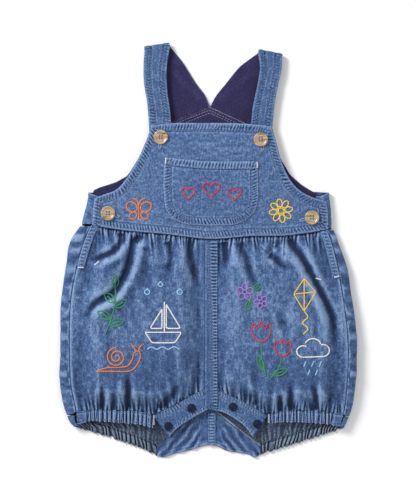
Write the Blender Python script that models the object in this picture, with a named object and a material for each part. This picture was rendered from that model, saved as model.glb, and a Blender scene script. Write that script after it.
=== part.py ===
"""Baby overalls of stonewashed denim, laid flat on their back with the front facing up.

The garment is a set of thin cloth walls: the back pieces lie on the surface and wrap round the
sides, the front pieces lie over them, and the legs stand open between the two. Lengths in the
tables are millimetres. X runs to the viewer's right, Y towards the straps and Z up. The origin is
the middle of the garment's bounding box, at the height of the surface that it lies on.
"""

import math

import bmesh
import bpy
import numpy as np

MM = 0.001

# Driving dimensions, in millimetres
SEAM_GAP = 0.3
DENIM_WALL = 1.2
LINING_WALL = 1.0
FRONT_WALL = 1.8
BIB_WALL = 2.2
POCKET_WALL = 1.5
STRIP_WALL = 1.2
HEM_WALL = 2.4
BACK_HEM_HEIGHT = 3.4
CROTCH_WALL = 2.2
BODICE_HEIGHT = 9.0
LEG_CROWN = 8.5
WAIST_PLEATS_PER_LEG = 28
WAIST_PLEAT_DEPTH = 1.3
WAIST_PLEAT_LENGTH = 13.0
HEM_GATHERS = 18
HEM_GATHER_DEPTH = 1.0
BACK_HEM_GATHERS = 28
BUTTON_DIAMETER = 15.0
BUTTON_THICKNESS = 2.8
BUTTON_HOLE = 1.8
SNAP_DIAMETER = 9.0
SNAP_HEIGHT = 1.7
CENTRE_STRIP_WIDTH = 12.0
SIDE_STRIP_WIDTH = 8.0

# The waist seam and the side seams, each a run of (x, y); the left side is the viewer's
WAIST = (
    (-122.7, 26.2), (-110.8, 23.6), (-80.6, 19.5), (-45.5, 16.4), (0.0, 11.2),
    (44.8, 14.2), (82.3, 15.0), (114.6, 19.3), (126.0, 21.5),
)
# y, outline x, side seam x and height of the side there
LEFT_SIDE = (
    (27.8, -132.9, -122.7, 9.5), (9.5, -144.9, -130.2, 10.5), (-17.9, -149.9, -138.2, 12.0),
    (-48.3, -154.6, -143.9, 13.5), (-95.0, -155.5, -145.8, 15.0), (-146.0, -155.2, -143.6, 14.0),
    (-171.2, -149.5, -138.6, 12.0), (-182.7, -144.4, -137.6, 11.0), (-187.0, -140.0, -133.5, 10.5),
)
RIGHT_SIDE = (
    (27.8, 128.6, 121.5, 9.5), (8.0, 136.4, 129.0, 10.5), (-15.0, 144.8, 134.9, 12.0),
    (-48.3, 150.6, 141.0, 13.5), (-95.0, 155.9, 146.4, 15.0), (-146.0, 153.7, 145.0, 14.0),
    (-171.2, 149.0, 141.8, 12.0), (-182.7, 144.4, 138.2, 11.0), (-187.0, 142.5, 136.0, 10.5),
)
# y and height of the centre-front seam
CENTRE_HEIGHT = ((12.0, 11.0), (-40.0, 12.5), (-100.0, 12.5), (-144.0, 11.2), (-200.0, 10.0))

# y of the back's waist seam at the sides and in the middle
BACK_WAIST = {"left": 25.0, "centre": 20.0, "right": 21.0}

# The lower edges of the front legs: elastic casing, then the crotch placket up to the centre
LEFT_HEM_TOP = ((-138.2, -169.1), (-113.9, -167.5), (-87.7, -168.5), (-70.9, -169.6), (-59.3, -172.2))
LEFT_HEM_LOW = (
    (-137.4, -182.4), (-125.1, -179.7), (-113.3, -179.7), (-86.7, -181.9), (-70.8, -183.4), (-58.0, -187.0),
)
RIGHT_HEM_TOP = ((62.5, -172.2), (78.2, -169.1), (96.1, -168.5), (115.0, -169.6), (141.2, -171.6))
RIGHT_HEM_LOW = (
    (64.0, -182.0), (78.5, -180.7), (96.6, -180.7), (114.8, -181.9), (138.2, -184.2),
)
LEFT_CROTCH_TOP = ((-59.3, -172.2), (-45.7, -167.0), (-29.9, -159.6), (-17.3, -152.2), (0.0, -143.8))
RIGHT_CROTCH_TOP = ((0.0, -143.8), (17.3, -150.3), (33.1, -157.5), (45.0, -163.8), (62.5, -172.2))
LEFT_CROTCH_LOW = ((-41.0, -196.3), (-34.5, -189.0), (-19.2, -177.7), (-8.5, -171.8), (0.0, -167.0))
RIGHT_CROTCH_LOW = ((0.0, -167.0), (15.6, -170.7), (26.4, -176.6), (37.1, -184.6), (46.5, -196.5))

# The back's lower edge: gathered casing from each side to the crotch panel's lower edge
LEFT_BACK_LOW = (
    (-140.0, -185.5), (-129.3, -188.8), (-113.3, -193.5), (-97.3, -198.9), (-81.4, -204.2),
    (-65.4, -210.5), (-54.8, -215.6), (-47.5, -218.4),
)
RIGHT_BACK_LOW = (
    (48.5, -218.4), (56.9, -214.2), (72.6, -209.0), (90.6, -203.7), (108.7, -198.1),
    (126.7, -192.2), (142.5, -186.7),
)
CROTCH_BACK_LOW = (
    (-54.2, -216.2), (-48.0, -218.4), (-40.0, -215.8), (-28.1, -212.7), (-17.9, -210.4), (-0.9, -205.6),
    (8.6, -206.4), (18.3, -211.0), (30.3, -213.2), (42.4, -215.4), (49.0, -218.4), (54.2, -215.8),
)
CROTCH_BACK_TOP = ((-54.2, -206.0), (0.0, -164.0), (54.2, -206.0))
BACK_HEM_WIDTH = 11.5

# Bib outline
BIB_TOP = ((-60.4, 131.0), (-38.7, 133.2), (-8.9, 133.4), (41.3, 132.4), (66.2, 130.0))
BIB_LEFT = (
    (-60.4, 131.0), (-62.4, 123.0), (-74.3, 94.9), (-86.1, 75.2), (-96.0, 63.9), (-110.9, 57.9), (-119.9, 54.6),
)
BIB_RIGHT = (
    (66.2, 130.0), (70.5, 114.8), (79.5, 85.7), (86.5, 72.6), (96.5, 62.1), (106.6, 56.5), (123.9, 50.9),
)
BIB_CORNER = 0.78

# Bib pocket outline
POCKET_TOP = ((-45.8, 97.7), (-8.9, 93.7), (52.4, 93.1))
POCKET_LEFT = ((-45.8, 97.7), (-47.1, 83.6), (-46.9, 55.7), (-44.8, 42.4), (-37.7, 32.4))
POCKET_RIGHT = ((52.4, 93.1), (52.4, 75.0), (52.4, 52.5), (48.9, 40.0), (41.0, 32.0))
POCKET_LOW = ((-37.7, 32.4), (-29.4, 28.4), (-8.9, 25.4), (6.8, 25.2), (34.1, 28.4), (41.0, 32.0))

# The back bodice's upper edge, straight between its points: the armholes and the two strap seams
BODICE_TOP = (
    (-124.0, 61.6), (-113.7, 66.3), (-99.6, 70.5), (-86.1, 76.7), (-73.0, 98.0), (-61.4, 125.3),
    (1.4, 149.9), (62.5, 122.3), (75.0, 98.0), (88.0, 76.0), (102.0, 66.0), (120.0, 55.5),
)

# Straps, section by section from the back seam over the fold to the end behind the bib:
# which run it is on, then the section's left end and its right end
LEFT_STRAP = (
    ("back", -61.4, 126.0, 1.1, 150.5), ("back", -63.0, 150.0, -2.8, 161.3), ("back", -65.5, 176.0, -14.0, 176.5),
    ("back", -67.2, 196.0, -27.4, 198.0), ("back", -67.3, 209.6, -40.2, 213.7),
    ("fold", -67.3, 209.6, -40.2, 213.7),
    ("front", -67.3, 209.6, -40.4, 213.7), ("front", -68.2, 190.1, -43.8, 190.1),
    ("front", -67.3, 172.2, -42.9, 165.0), ("front", -64.3, 154.3, -40.2, 147.0),
    ("front", -62.2, 123.9, -38.7, 123.9), ("front", -61.4, 96.5, -37.3, 96.5),
)
RIGHT_STRAP = (
    ("back", 1.7, 150.5, 62.5, 123.0), ("back", 7.5, 161.3, 66.0, 148.0), ("back", 18.0, 174.5, 71.0, 170.0),
    ("back", 34.0, 193.8, 75.5, 190.0), ("back", 52.0, 206.9, 77.3, 201.9),
    ("fold", 52.0, 206.9, 77.3, 201.9),
    ("front", 52.0, 206.9, 77.3, 201.9), ("front", 53.9, 190.1, 76.4, 188.1),
    ("front", 51.1, 172.2, 73.4, 175.7), ("front", 46.6, 150.4, 69.6, 154.3),
    ("front", 43.9, 126.0, 66.7, 126.0), ("front", 41.5, 96.5, 64.6, 96.5),
)
FOLD_STEPS = 6

# The largest folds of the front legs: depth, half width, then the fold's run of (x, y)
FOLDS = (
    (6.0, 5.5, ((-68.8, 17.0), (-78.5, 8.4), (-81.1, -3.8), (-84.6, -17.9), (-91.7, -32.6), (-99.6, -44.1),
                (-115.7, -54.0), (-123.8, -62.0), (-127.8, -76.0), (-130.0, -92.0))),
    (3.5, 6.5, ((-41.5, 10.0), (-39.4, -4.2), (-41.5, -17.9), (-45.7, -36.0))),
    (3.5, 5.0, ((-18.4, 12.6), (-17.9, -4.2), (-15.3, -23.1), (-12.3, -46.0))),
    (4.5, 5.0, ((-90.8, 19.0), (-91.9, 9.5), (-99.6, -0.7), (-113.7, -7.8), (-127.0, -14.0))),
    (3.5, 5.5, ((16.0, 9.0), (17.5, -7.4), (15.0, -24.0))),
    (4.0, 6.0, ((34.1, 9.0), (40.4, -11.6), (47.0, -31.5), (55.4, -50.0))),
    (3.0, 5.0, ((64.0, -4.0), (74.0, -13.0), (84.4, -24.0))),
    (6.0, 5.5, ((83.5, 14.0), (92.9, 0.0), (101.6, -12.6), (107.0, -22.5), (115.6, -39.9), (123.1, -54.6),
                (129.5, -70.4), (132.0, -92.4), (133.0, -120.0))),
    (2.5, 6.0, ((71.6, -55.0), (76.0, -73.0), (81.3, -92.0))),
    (4.0, 4.0, ((-111.8, -138.0), (-111.4, -155.0), (-111.8, -171.0))),
    (5.0, 4.5, ((-86.6, -124.0), (-84.0, -148.0), (-85.5, -171.0))),
    (3.5, 6.0, ((-22.0, -126.0), (-38.0, -151.0), (-52.0, -168.0))),
    (4.0, 6.0, ((87.6, -130.0), (86.0, -150.0), (88.0, -170.0))),
    (3.5, 4.0, ((76.1, -148.0), (75.0, -158.0), (76.1, -170.0))),
    (3.5, 4.5, ((106.6, -134.0), (111.4, -152.0), (112.4, -169.0))),
    (2.5, 7.0, ((24.0, -120.0), (36.0, -144.0), (50.0, -164.0))),
)

# Where the buttons and the snaps sit: x, y and tilt in degrees
BUTTONS = (
    ("button_bib_left", -50.0, 118.3, 0.0), ("button_bib_right", 54.8, 115.8, 0.0),
    ("button_side_left", -105.6, 38.5, 9.0), ("button_side_right", 108.5, 34.1, 0.0),
)
SNAPS = ((-42.0, -185.0), (-17.7, -165.9), (25.9, -164.6), (51.4, -182.7))

# Colours as linear RGB
DENIM = (0.115, 0.205, 0.375, 1.0)
DENIM_DARK = (0.075, 0.145, 0.285, 1.0)
LINING = (0.045, 0.038, 0.125, 1.0)
RESIN = (0.62, 0.45, 0.26, 1.0)
SNAP_BLUE = (0.028, 0.045, 0.12, 1.0)


def clear_scene():
    for old in list(bpy.data.objects):
        bpy.data.objects.remove(old, do_unlink=True)


def material(name, colour, roughness):
    made = bpy.data.materials.new(name)
    made.use_nodes = True
    shader = made.node_tree.nodes["Principled BSDF"]
    shader.inputs["Base Color"].default_value = colour
    shader.inputs["Roughness"].default_value = roughness
    shader.inputs["Metallic"].default_value = 0.0
    return made


def finish(name, mesh_data, finish_material):
    """One closed object from a bmesh, in metres, smooth but for its edges."""
    bmesh.ops.recalc_face_normals(mesh_data, faces=mesh_data.faces)
    bmesh.ops.scale(mesh_data, vec=(MM, MM, MM), verts=mesh_data.verts)
    mesh = bpy.data.meshes.new(name)
    mesh_data.to_mesh(mesh)
    mesh_data.free()
    mesh.shade_smooth()
    mesh.set_sharp_from_angle(angle=math.radians(50))
    made = bpy.data.objects.new(name, mesh)
    bpy.context.scene.collection.objects.link(made)
    made.data.materials.append(finish_material)
    return made


def run(points):
    """A smooth line through the points, as a function of 0 to 1 along it."""
    knots = np.array(points, float)
    lengths = np.linalg.norm(np.diff(knots, axis=0), axis=1)
    places = np.concatenate([[0.0], np.cumsum(lengths)]) / lengths.sum()
    slopes = np.gradient(knots, places, axis=0)

    def at(s):
        s = np.clip(np.asarray(s, float), 0.0, 1.0)
        i = np.clip(np.searchsorted(places, s, side="right") - 1, 0, len(places) - 2)
        span = (places[i + 1] - places[i])[..., None]
        q = (s - places[i])[..., None] / span
        start = (2 * q**3 - 3 * q**2 + 1) * knots[i] + (q**3 - 2 * q**2 + q) * span * slopes[i]
        end = (3 * q**2 - 2 * q**3) * knots[i + 1] + (q**3 - q**2) * span * slopes[i + 1]
        return start + end

    return at


def joined(first, second, corner):
    """Two lines as one, with a corner where the first ends."""

    def at(s):
        s = np.asarray(s, float)[..., None]
        early = first(s[..., 0] / corner)
        late = second((s[..., 0] - corner) / (1 - corner))
        return np.where(s <= corner, early, late)

    return at


def moved(line, dx, dy):
    return lambda s: line(s) + np.array((dx, dy))


def level(height, start, end, shift):
    """The line y = height(x) from one x to another, moved by a shift."""

    def at(u):
        x = start + (end - start) * np.asarray(u, float)
        return np.stack([x, height(x) + shift], axis=-1)

    return at


def graph(points, column=1):
    """A smooth height over x, or a width over y, read from a table whose first column rises or falls."""
    rows = sorted(points)
    keys = np.array([row[0] for row in rows], float)
    values = np.array([row[column] for row in rows], float)
    slopes = np.gradient(values, keys)

    def at(x):
        x = np.clip(np.asarray(x, float), keys[0], keys[-1])
        i = np.clip(np.searchsorted(keys, x, side="right") - 1, 0, len(keys) - 2)
        span = keys[i + 1] - keys[i]
        q = (x - keys[i]) / span
        start = (2 * q**3 - 3 * q**2 + 1) * values[i] + (q**3 - 2 * q**2 + q) * span * slopes[i]
        end = (3 * q**2 - 2 * q**3) * values[i + 1] + (q**3 - q**2) * span * slopes[i + 1]
        return start + end

    return at


def straight(points):
    """A height over x, straight between the points."""
    keys, values = np.array(points, float).T
    return lambda x: np.interp(x, keys, values)


def ease(x):
    """0 below 0, 1 above 1, and a soft rise between."""
    q = np.clip(x, 0.0, 1.0)
    return q * q * (3 - 2 * q)


def patch(left, right, top, bottom):
    """The cloth inside four edges, each a function of 0 to 1: u runs to the right, v downwards."""
    corners = [line(end) for line in (top, bottom) for end in (0.0, 1.0)]

    def at(u, v):
        a, b = u[..., None], v[..., None]
        sides = (1 - b) * top(u) + b * bottom(u) + (1 - a) * left(v) + a * right(v)
        upper = (1 - a) * corners[0] + a * corners[1]
        lower = (1 - a) * corners[2] + a * corners[3]
        return sides - (1 - b) * upper - b * lower

    return at


def grid(columns, rows):
    return np.meshgrid(np.asarray(columns, float), np.asarray(rows, float))


def add_grid(mesh_data, points):
    rows = [[mesh_data.verts.new(point) for point in row] for row in points]
    for upper, lower in zip(rows, rows[1:]):
        for i in range(len(upper) - 1):
            mesh_data.faces.new((upper[i], lower[i], lower[i + 1], upper[i + 1]))
    return rows


def border(rows):
    left = [row[0] for row in rows]
    right = [row[-1] for row in rows]
    return (rows[0], right, rows[-1][::-1], left[::-1])


def wall(name, outer, inner, finish_material, ratio=1):
    """A cloth wall between two grids of points; the inner grid has one point for each ratio outer ones."""
    mesh_data = bmesh.new()
    outer_rows = add_grid(mesh_data, outer)
    inner_rows = add_grid(mesh_data, inner[::ratio, ::ratio])
    for side, far_side in zip(border(outer_rows), border(inner_rows)):
        for k in range(len(far_side) - 1):
            near = side[k * ratio : (k + 1) * ratio + 1]
            for a, b in zip(near, near[1:]):
                mesh_data.faces.new((far_side[k], a, b))
            mesh_data.faces.new((far_side[k], near[-1], far_side[k + 1]))
    return finish(name, mesh_data, finish_material)


def lie(name, place, height, thickness, columns, rows, finish_material, ratio=1):
    """A panel that lies over its plan: place(u, v) gives x and y, height(x, y) its upper face."""
    u, v = grid(columns, rows)
    plan = place(u, v)
    top = height(plan[..., 0], plan[..., 1])
    outer = np.dstack([plan, top])
    inner = np.dstack([plan, top - thickness])
    return wall(name, outer, inner, finish_material, ratio)


def evenly(count):
    return np.linspace(0.0, 1.0, count + 1)


def with_corner(before, after, corner):
    return np.concatenate([np.linspace(0.0, corner, before + 1), np.linspace(corner, 1.0, after + 1)[1:]])


waist_y = graph(WAIST)
centre_z = graph(CENTRE_HEIGHT)
SIDES = {
    side: {name: graph(table, column) for column, name in enumerate(("outline", "seam", "height"), start=1)}
    for side, table in (("left", LEFT_SIDE), ("right", RIGHT_SIDE))
}
left_bottom_y = graph(LEFT_HEM_TOP + LEFT_CROTCH_TOP[1:])
right_bottom_y = graph(RIGHT_CROTCH_TOP[:-1] + RIGHT_HEM_TOP)


def bib_height(x, y):
    """The bib's upper face: flat over the straps and tabs, with a soft swell over the pocket."""
    swell = np.exp(-((x / 70.0) ** 2) - (((y - 55.0) / 55.0) ** 2))
    low = BODICE_HEIGHT + SEAM_GAP + BIB_WALL
    return low + 1.6 * swell


def fold_depth(x, y):
    """How deep the largest folds press the front legs in at a point."""
    depth = np.zeros_like(x)
    for deep, half_width, points in FOLDS:
        line = run(points)(evenly(4 * len(points)))
        nearest = np.full(x.shape, 1e9)
        along = np.zeros_like(x)
        for k, (a, b) in enumerate(zip(line, line[1:])):
            step = b - a
            q = np.clip(((x - a[0]) * step[0] + (y - a[1]) * step[1]) / (step @ step), 0, 1)
            away = np.hypot(x - a[0] - q * step[0], y - a[1] - q * step[1])
            closer = away < nearest
            nearest = np.where(closer, away, nearest)
            along = np.where(closer, (k + q) / (len(line) - 1), along)
        fade = ease(along / 0.12 + 0.4) * ease((1 - along) / 0.35)
        depth = np.maximum(depth, deep * fade * np.exp(-((nearest / half_width) ** 2)))
    return depth


def front_base(x, y):
    """The front legs' height without crown, folds or pleats: from the side seam to the centre seam."""
    left, right = SIDES["left"], SIDES["right"]
    from_side = np.where(x < 0, x - left["seam"](y), right["seam"](y) - x)
    side_z = np.where(x < 0, left["height"](y), right["height"](y))
    share = ease(np.clip(from_side, 0, None) / (np.clip(from_side, 0, None) + np.abs(x) + 1e-6))
    return side_z * (1 - share) + centre_z(y) * share, from_side


def front_height(x, y):
    """The front legs' upper face: a soft crown with the largest folds and the waist pleats."""
    base, from_side = front_base(x, y)
    from_waist = waist_y(x) - y
    bottom = np.where(x < 0, left_bottom_y(x), right_bottom_y(x))
    from_bottom = y - bottom
    puff = ease((np.abs(x) - CENTRE_STRIP_WIDTH / 2) / 26.0) * ease((from_side - SIDE_STRIP_WIDTH - 1.0) / 22.0)
    puff = puff * ease(from_waist / 30.0) * ease(from_bottom / 22.0)
    edge = ease((np.abs(x) - CENTRE_STRIP_WIDTH / 2 - 0.5) / 6.0) * ease((from_side - SIDE_STRIP_WIDTH - 1.0) / 8.0)
    period = (WAIST[-1][0] - WAIST[0][0]) / 2 / WAIST_PLEATS_PER_LEG
    pleat = -np.cos(2 * math.pi * x / period) * 0.5 - 0.5
    pleat = pleat * WAIST_PLEAT_DEPTH * np.exp(-from_waist / WAIST_PLEAT_LENGTH)
    gather = (-np.cos(2 * math.pi * x / period) * 0.5 - 0.5) * 1.0 * np.exp(-from_bottom / 7.0)
    folds = fold_depth(x, y) * ease((from_waist + 8.0) / 14.0) * ease((from_bottom + 6.0) / 12.0)
    return base + LEG_CROWN * puff + edge * (pleat + gather - folds)


def build_front_legs(denim):
    half = SEAM_GAP / 2
    rows = np.array([0.0, 0.02, 0.05, 0.10, 0.17, 0.25, 0.34, 0.44, 0.54, 0.64, 0.74, 0.83, 0.90, 0.96, 1.0])
    columns = evenly(2 * WAIST_PLEATS_PER_LEG)
    for side, sign, hem in (("left", -1, LEFT_HEM_TOP), ("right", 1, RIGHT_HEM_TOP)):
        seam = SIDES[side]["seam"]
        waist_end = seam(waist_y(sign * 122.0)) - sign * SEAM_GAP
        hem_end = hem[0] if sign < 0 else hem[-1]
        bottom_y = left_bottom_y if sign < 0 else right_bottom_y

        def edge(v, seam=seam, sign=sign, top=waist_y(waist_end) - half, low=hem_end[1] + half):
            y = top + (low - top) * np.asarray(v, float)
            return np.stack([seam(y) - sign * SEAM_GAP, y], axis=-1)

        def centre(v, sign=sign, top=waist_y(0.0) - half, low=LEFT_CROTCH_TOP[-1][1] + half):
            y = top + (low - top) * np.asarray(v, float)
            return np.stack([np.full_like(y, sign * half), y], axis=-1)

        waist_ends = sorted((float(waist_end), sign * half))
        low_ends = sorted((float(edge(1.0)[0]), sign * half))
        waist = level(waist_y, waist_ends[0], waist_ends[1], -half)
        low_edge = level(bottom_y, low_ends[0], low_ends[1], half)
        left_line, right_line = (edge, centre) if sign < 0 else (centre, edge)
        place = patch(left_line, right_line, waist, low_edge)
        lie(f"front_leg_{side}", place, front_height, FRONT_WALL, columns, rows, denim, ratio=2)


def build_centre_front_seam(denim):
    top = waist_y(0.0) - 1.0
    low = LEFT_CROTCH_TOP[-1][1] - 22.0
    half = CENTRE_STRIP_WIDTH / 2

    def place(u, v):
        return np.stack([-half + 2 * half * u, top + (low - top) * v], axis=-1)

    def height(x, y):
        return np.maximum(front_base(x, y)[0], centre_z(y)) + SEAM_GAP + STRIP_WALL

    lie("centre_front_seam", place, height, STRIP_WALL, evenly(2), evenly(20), denim)


def build_side_plackets(denim):
    """The faced front edge of each side opening, turned back over the leg from the waist to its bar tack."""
    for side, sign, low in (("left", -1, -16.8), ("right", 1, -28.5)):
        seam = SIDES[side]["seam"]

        def place(u, v, sign=sign, low=low, seam=seam):
            top = waist_y(seam(20.0) - sign * SIDE_STRIP_WIDTH * u) - 2 * SEAM_GAP
            y = top + (low - top) * v
            return np.stack([seam(y) - sign * (SEAM_GAP + SIDE_STRIP_WIDTH * u), y], axis=-1)

        def height(x, y):
            return front_base(x, y)[0] + SEAM_GAP + STRIP_WALL

        lie(f"side_placket_{side}", place, height, STRIP_WALL, evenly(3), evenly(8), denim)


def build_front_hems(denim):
    for side, top, low, bottom_y, shift in (
        ("left", LEFT_HEM_TOP, LEFT_HEM_LOW, left_bottom_y, -SEAM_GAP),
        ("right", RIGHT_HEM_TOP, RIGHT_HEM_LOW, right_bottom_y, SEAM_GAP),
    ):
        top_line = level(bottom_y, top[0][0] + shift, top[-1][0] + shift, -SEAM_GAP / 2)
        low_line = run(low)
        ends = [run((top_line(end), low_line(end))) for end in (0.0, 1.0)]
        place = patch(ends[0], ends[1], top_line, low_line)
        flat_end = 0.0 if side == "left" else 1.0
        count = 2 * HEM_GATHERS
        parity = np.arange(count + 1) % 2
        columns = evenly(count)
        rows = np.array([0.0, 0.2, 0.8, 1.0])
        u, v = grid(columns, rows)
        plan = place(u, v)
        wave = parity * np.clip(np.abs(u - flat_end) * 8 - 1.2, 0, 1) * HEM_GATHER_DEPTH
        roll = 0.8 * np.sin(math.pi * v)
        top_z = front_base(plan[..., 0], plan[..., 1])[0] + roll - wave - 0.6 * v
        outer = np.dstack([plan, top_z])
        inner = np.dstack([plan, front_base(plan[..., 0], plan[..., 1])[0] - HEM_WALL])
        wall(f"front_hem_{side}", outer, inner, denim)


def build_front_crotch(denim):
    half = SEAM_GAP / 2
    for side, top, low, bottom_y, shift in (
        ("left", LEFT_CROTCH_TOP, LEFT_CROTCH_LOW, left_bottom_y, -half),
        ("right", RIGHT_CROTCH_TOP, RIGHT_CROTCH_LOW, right_bottom_y, half),
    ):
        top_line = level(bottom_y, top[0][0] + shift, top[-1][0] + shift, -half)
        low_line = moved(run(low), shift, 0.0)
        ends = [run((top_line(end), low_line(end))) for end in (0.0, 1.0)]
        place = patch(ends[0], ends[1], top_line, low_line)

        def height(x, y):
            return centre_z(y) - 0.2 - 3.0 * ease((np.abs(x) - 30.0) / 30.0)

        lie(f"front_crotch_placket_{side}", place, height, CROTCH_WALL, evenly(12), evenly(4), denim, ratio=2)


def side_section(side, s, y, inset, centre_x):
    """A back piece's section at a height y of the garment: from the side seam on top (s 0), over the
    rounded side (1 to 2), and along the surface to the centre (3). Inset moves it into the cloth."""
    sign = -1 if side == "left" else 1
    outline, seam = SIDES[side]["outline"](y), SIDES[side]["seam"](y)
    height = SIDES[side]["height"](y)
    radius = 0.72 * np.abs(outline - seam)
    turn = outline - sign * radius
    angle = math.pi / 2 - math.pi * np.clip(s - 1, 0, 1)
    across = turn + sign * (radius - inset) * np.cos(angle)
    up = height / 2 + (height / 2 - inset) * np.sin(angle)
    on_top = s < 1
    on_floor = s > 2
    across = np.where(on_top, seam + (turn - seam) * s, across)
    across = np.where(on_floor, turn + (centre_x - turn) * (s - 2), across)
    return across, up


def back_waist(side, s):
    """y of the back's waist seam, along a section from the side seam to the centre."""
    return BACK_WAIST[side] + (BACK_WAIST["centre"] - BACK_WAIST[side]) * np.clip(s - 2, 0, 1)


SECTION = np.concatenate([np.linspace(0, 1, 3), np.linspace(1, 2, 7)[1:]])


def hem_edge(side, s, low_line, above, centre_x):
    """y of a line that runs a distance above the back's lower edge, at each column of a section."""
    y = np.full_like(s, -190.0)
    for _ in range(8):
        x = side_section(side, np.maximum(s, 2.0), y, 0.0, centre_x)[0]
        y = low_line(x) + above
    return y


def build_back_legs(denim):
    floor = np.linspace(2, 3, 13)[1:]
    for side, sign, low in (("left", -1, LEFT_BACK_LOW), ("right", 1, RIGHT_BACK_LOW)):
        columns = np.concatenate([SECTION, floor])
        low_y = graph(low)
        seam_low = -169.5 if side == "left" else -171.9
        crotch_end = min(CROTCH_BACK_TOP)[0] if sign < 0 else max(CROTCH_BACK_TOP)[0]
        crotch_y = straight(CROTCH_BACK_TOP)
        s, v = grid(columns, evenly(12))
        grids = []
        for inset in (0.0, DENIM_WALL):
            top = back_waist(side, s) - SEAM_GAP / 2
            centre_x = sign * SEAM_GAP / 2
            hem = hem_edge(side, s, low_y, BACK_HEM_WIDTH, centre_x)
            hem = np.where(s < 2, seam_low + (hem[0, len(SECTION) - 1] - seam_low) * ease(s / 2), hem)
            hem_x = side_section(side, s, hem, inset, centre_x)[0]
            low_edge = np.where(np.abs(hem_x) < abs(crotch_end), crotch_y(hem_x) + 2 * SEAM_GAP, hem)
            y = top + (low_edge - top) * v
            across, up = side_section(side, s, y, inset, sign * SEAM_GAP / 2)
            grids.append(np.dstack([across, y, up]))
        wall(f"back_leg_{side}", grids[0], grids[1], denim)


def build_back_hems(denim):
    for side, sign, low in (("left", -1, LEFT_BACK_LOW), ("right", 1, RIGHT_BACK_LOW)):
        low_line = graph(low)
        end_x = sign * 54.6
        count = 2 * BACK_HEM_GATHERS
        columns = np.concatenate([SECTION[2:], np.linspace(2, 3, count - len(SECTION) + 3)[1:]])
        s, v = grid(columns, np.array([0.0, 0.4, 1.0]))
        parity = (np.arange(len(columns)) % 2) * np.ones_like(s)
        low_y = hem_edge(side, s, low_line, 0.0, end_x) + 2.6 * (1 - ease(s - 1))
        high_y = hem_edge(side, s, low_line, BACK_HEM_WIDTH - 2 * SEAM_GAP, end_x) + 0.6 * (1 - ease(s - 1))
        y = high_y + (low_y - high_y) * v
        outer_x, outer_z = side_section(side, s, y, 0.0, end_x)
        thick = BACK_HEM_HEIGHT - 1.2 * parity * ease((s - 1.2) / 0.4)
        thick = thick * (0.62 + 0.38 * np.sin(math.pi * np.clip(v, 0.0, 1.0)))
        inner_x, inner_z = side_section(side, s, y, thick, end_x)
        wall(f"back_hem_{side}", np.dstack([outer_x, y, outer_z]), np.dstack([inner_x, y, inner_z]), denim)


def build_back_crotch(denim):
    first, middle, last = CROTCH_BACK_TOP
    top_line = joined(run((first, middle)), run((middle, last)), 0.5)
    low_line = run(CROTCH_BACK_LOW)
    ends = [run((top_line(end), low_line(end))) for end in (0.0, 1.0)]
    place = patch(ends[0], ends[1], top_line, low_line)

    def crease(x, y):
        """Soft diagonal creases that fan out from the casing's ends, and a flat band for the centre seam."""
        away = np.abs(x)
        lift = 0.9 * np.cos((away + 0.7 * (y + 200.0)) / 2.6)
        return lift * ease((away - 8.0) / 8.0) * ease((-y - 172.0) / 12.0)

    columns, rows = evenly(28), evenly(6)
    u, v = grid(columns, rows)
    plan = place(u, v)
    outer = np.dstack([plan, 2.6 + crease(plan[..., 0], plan[..., 1])])
    inner = np.dstack([plan, np.zeros_like(u)])
    wall("back_crotch_placket", outer, inner, denim, ratio=2)

    def seam_place(u, v):
        top, low = -171.0, -205.0
        return np.stack([3.5 + 7.0 * (u - 0.5), top + (low - top) * v], axis=-1)

    def seam_height(x, y):
        return np.full_like(x, 2.6 + SEAM_GAP + STRIP_WALL)

    lie("centre_back_seam", seam_place, seam_height, STRIP_WALL, evenly(2), evenly(3), denim)


def build_bib(denim):
    def waist(u):
        x = -122.4 + (125.8 + 122.4) * np.asarray(u, float)
        return np.stack([x, waist_y(x) + SEAM_GAP / 2], axis=-1)

    left_tab = run((BIB_LEFT[-1], (-121.3, 41.5), tuple(waist(0.0))))
    right_tab = run((BIB_RIGHT[-1], (125.7, 37.4), tuple(waist(1.0))))
    left = joined(run(BIB_LEFT), left_tab, BIB_CORNER)
    right = joined(run(BIB_RIGHT), right_tab, BIB_CORNER)
    place = patch(left, right, run(BIB_TOP), waist)
    lie("bib_front", place, bib_height, BIB_WALL, evenly(20), with_corner(12, 4, BIB_CORNER), denim, ratio=2)


def build_pocket(denim):
    place = patch(run(POCKET_LEFT), run(POCKET_RIGHT), run(POCKET_TOP), run(POCKET_LOW))
    columns = evenly(12)
    rows = np.array([0.0, 0.11, 0.13, 0.3, 0.5, 0.7, 0.85, 1.0])
    u, v = grid(columns, rows)
    plan = place(u, v)
    under = bib_height(plan[..., 0], plan[..., 1]) + SEAM_GAP
    mouth = np.where(v < 0.12, POCKET_WALL + 0.7, POCKET_WALL)
    slack = 0.8 * np.sin(math.pi * u) * ease((1 - v) / 0.5)
    wall("bib_pocket", np.dstack([plan, under + slack + mouth]), np.dstack([plan, under + slack]), denim)


def bodice_grid(floor_count, ends):
    """The back bodice's points at an inset: both sides wrapped to the front, the middle on the surface."""
    half = np.concatenate([SECTION, np.linspace(2, 3, floor_count)[1:]]) if ends else np.linspace(2, 3, floor_count)
    return np.concatenate([half, 6 - half[::-1][1:]])


def build_back_bodice(denim, lining):
    top_y = straight(BODICE_TOP)
    middle = 1.4
    columns = bodice_grid(11, True)
    s, v = grid(columns, evenly(6))
    grids = []
    for inset in (0.0, DENIM_WALL):
        mirror = np.where(s > 3, 6 - s, s)
        grids.append(bodice_points(s, mirror, v, inset, middle, top_y, 0.0))
    wall("back_bodice", grids[0], grids[1], denim)

    columns = bodice_grid(11, False)
    s, v = grid(columns, evenly(6))
    mirror = np.where(s > 3, 6 - s, s)
    under = DENIM_WALL + SEAM_GAP
    grids = [bodice_points(s, mirror, v, lift, middle, top_y, 1.0) for lift in (under + LINING_WALL, under)]
    wall("back_bodice_lining", grids[0], grids[1], lining)


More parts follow.
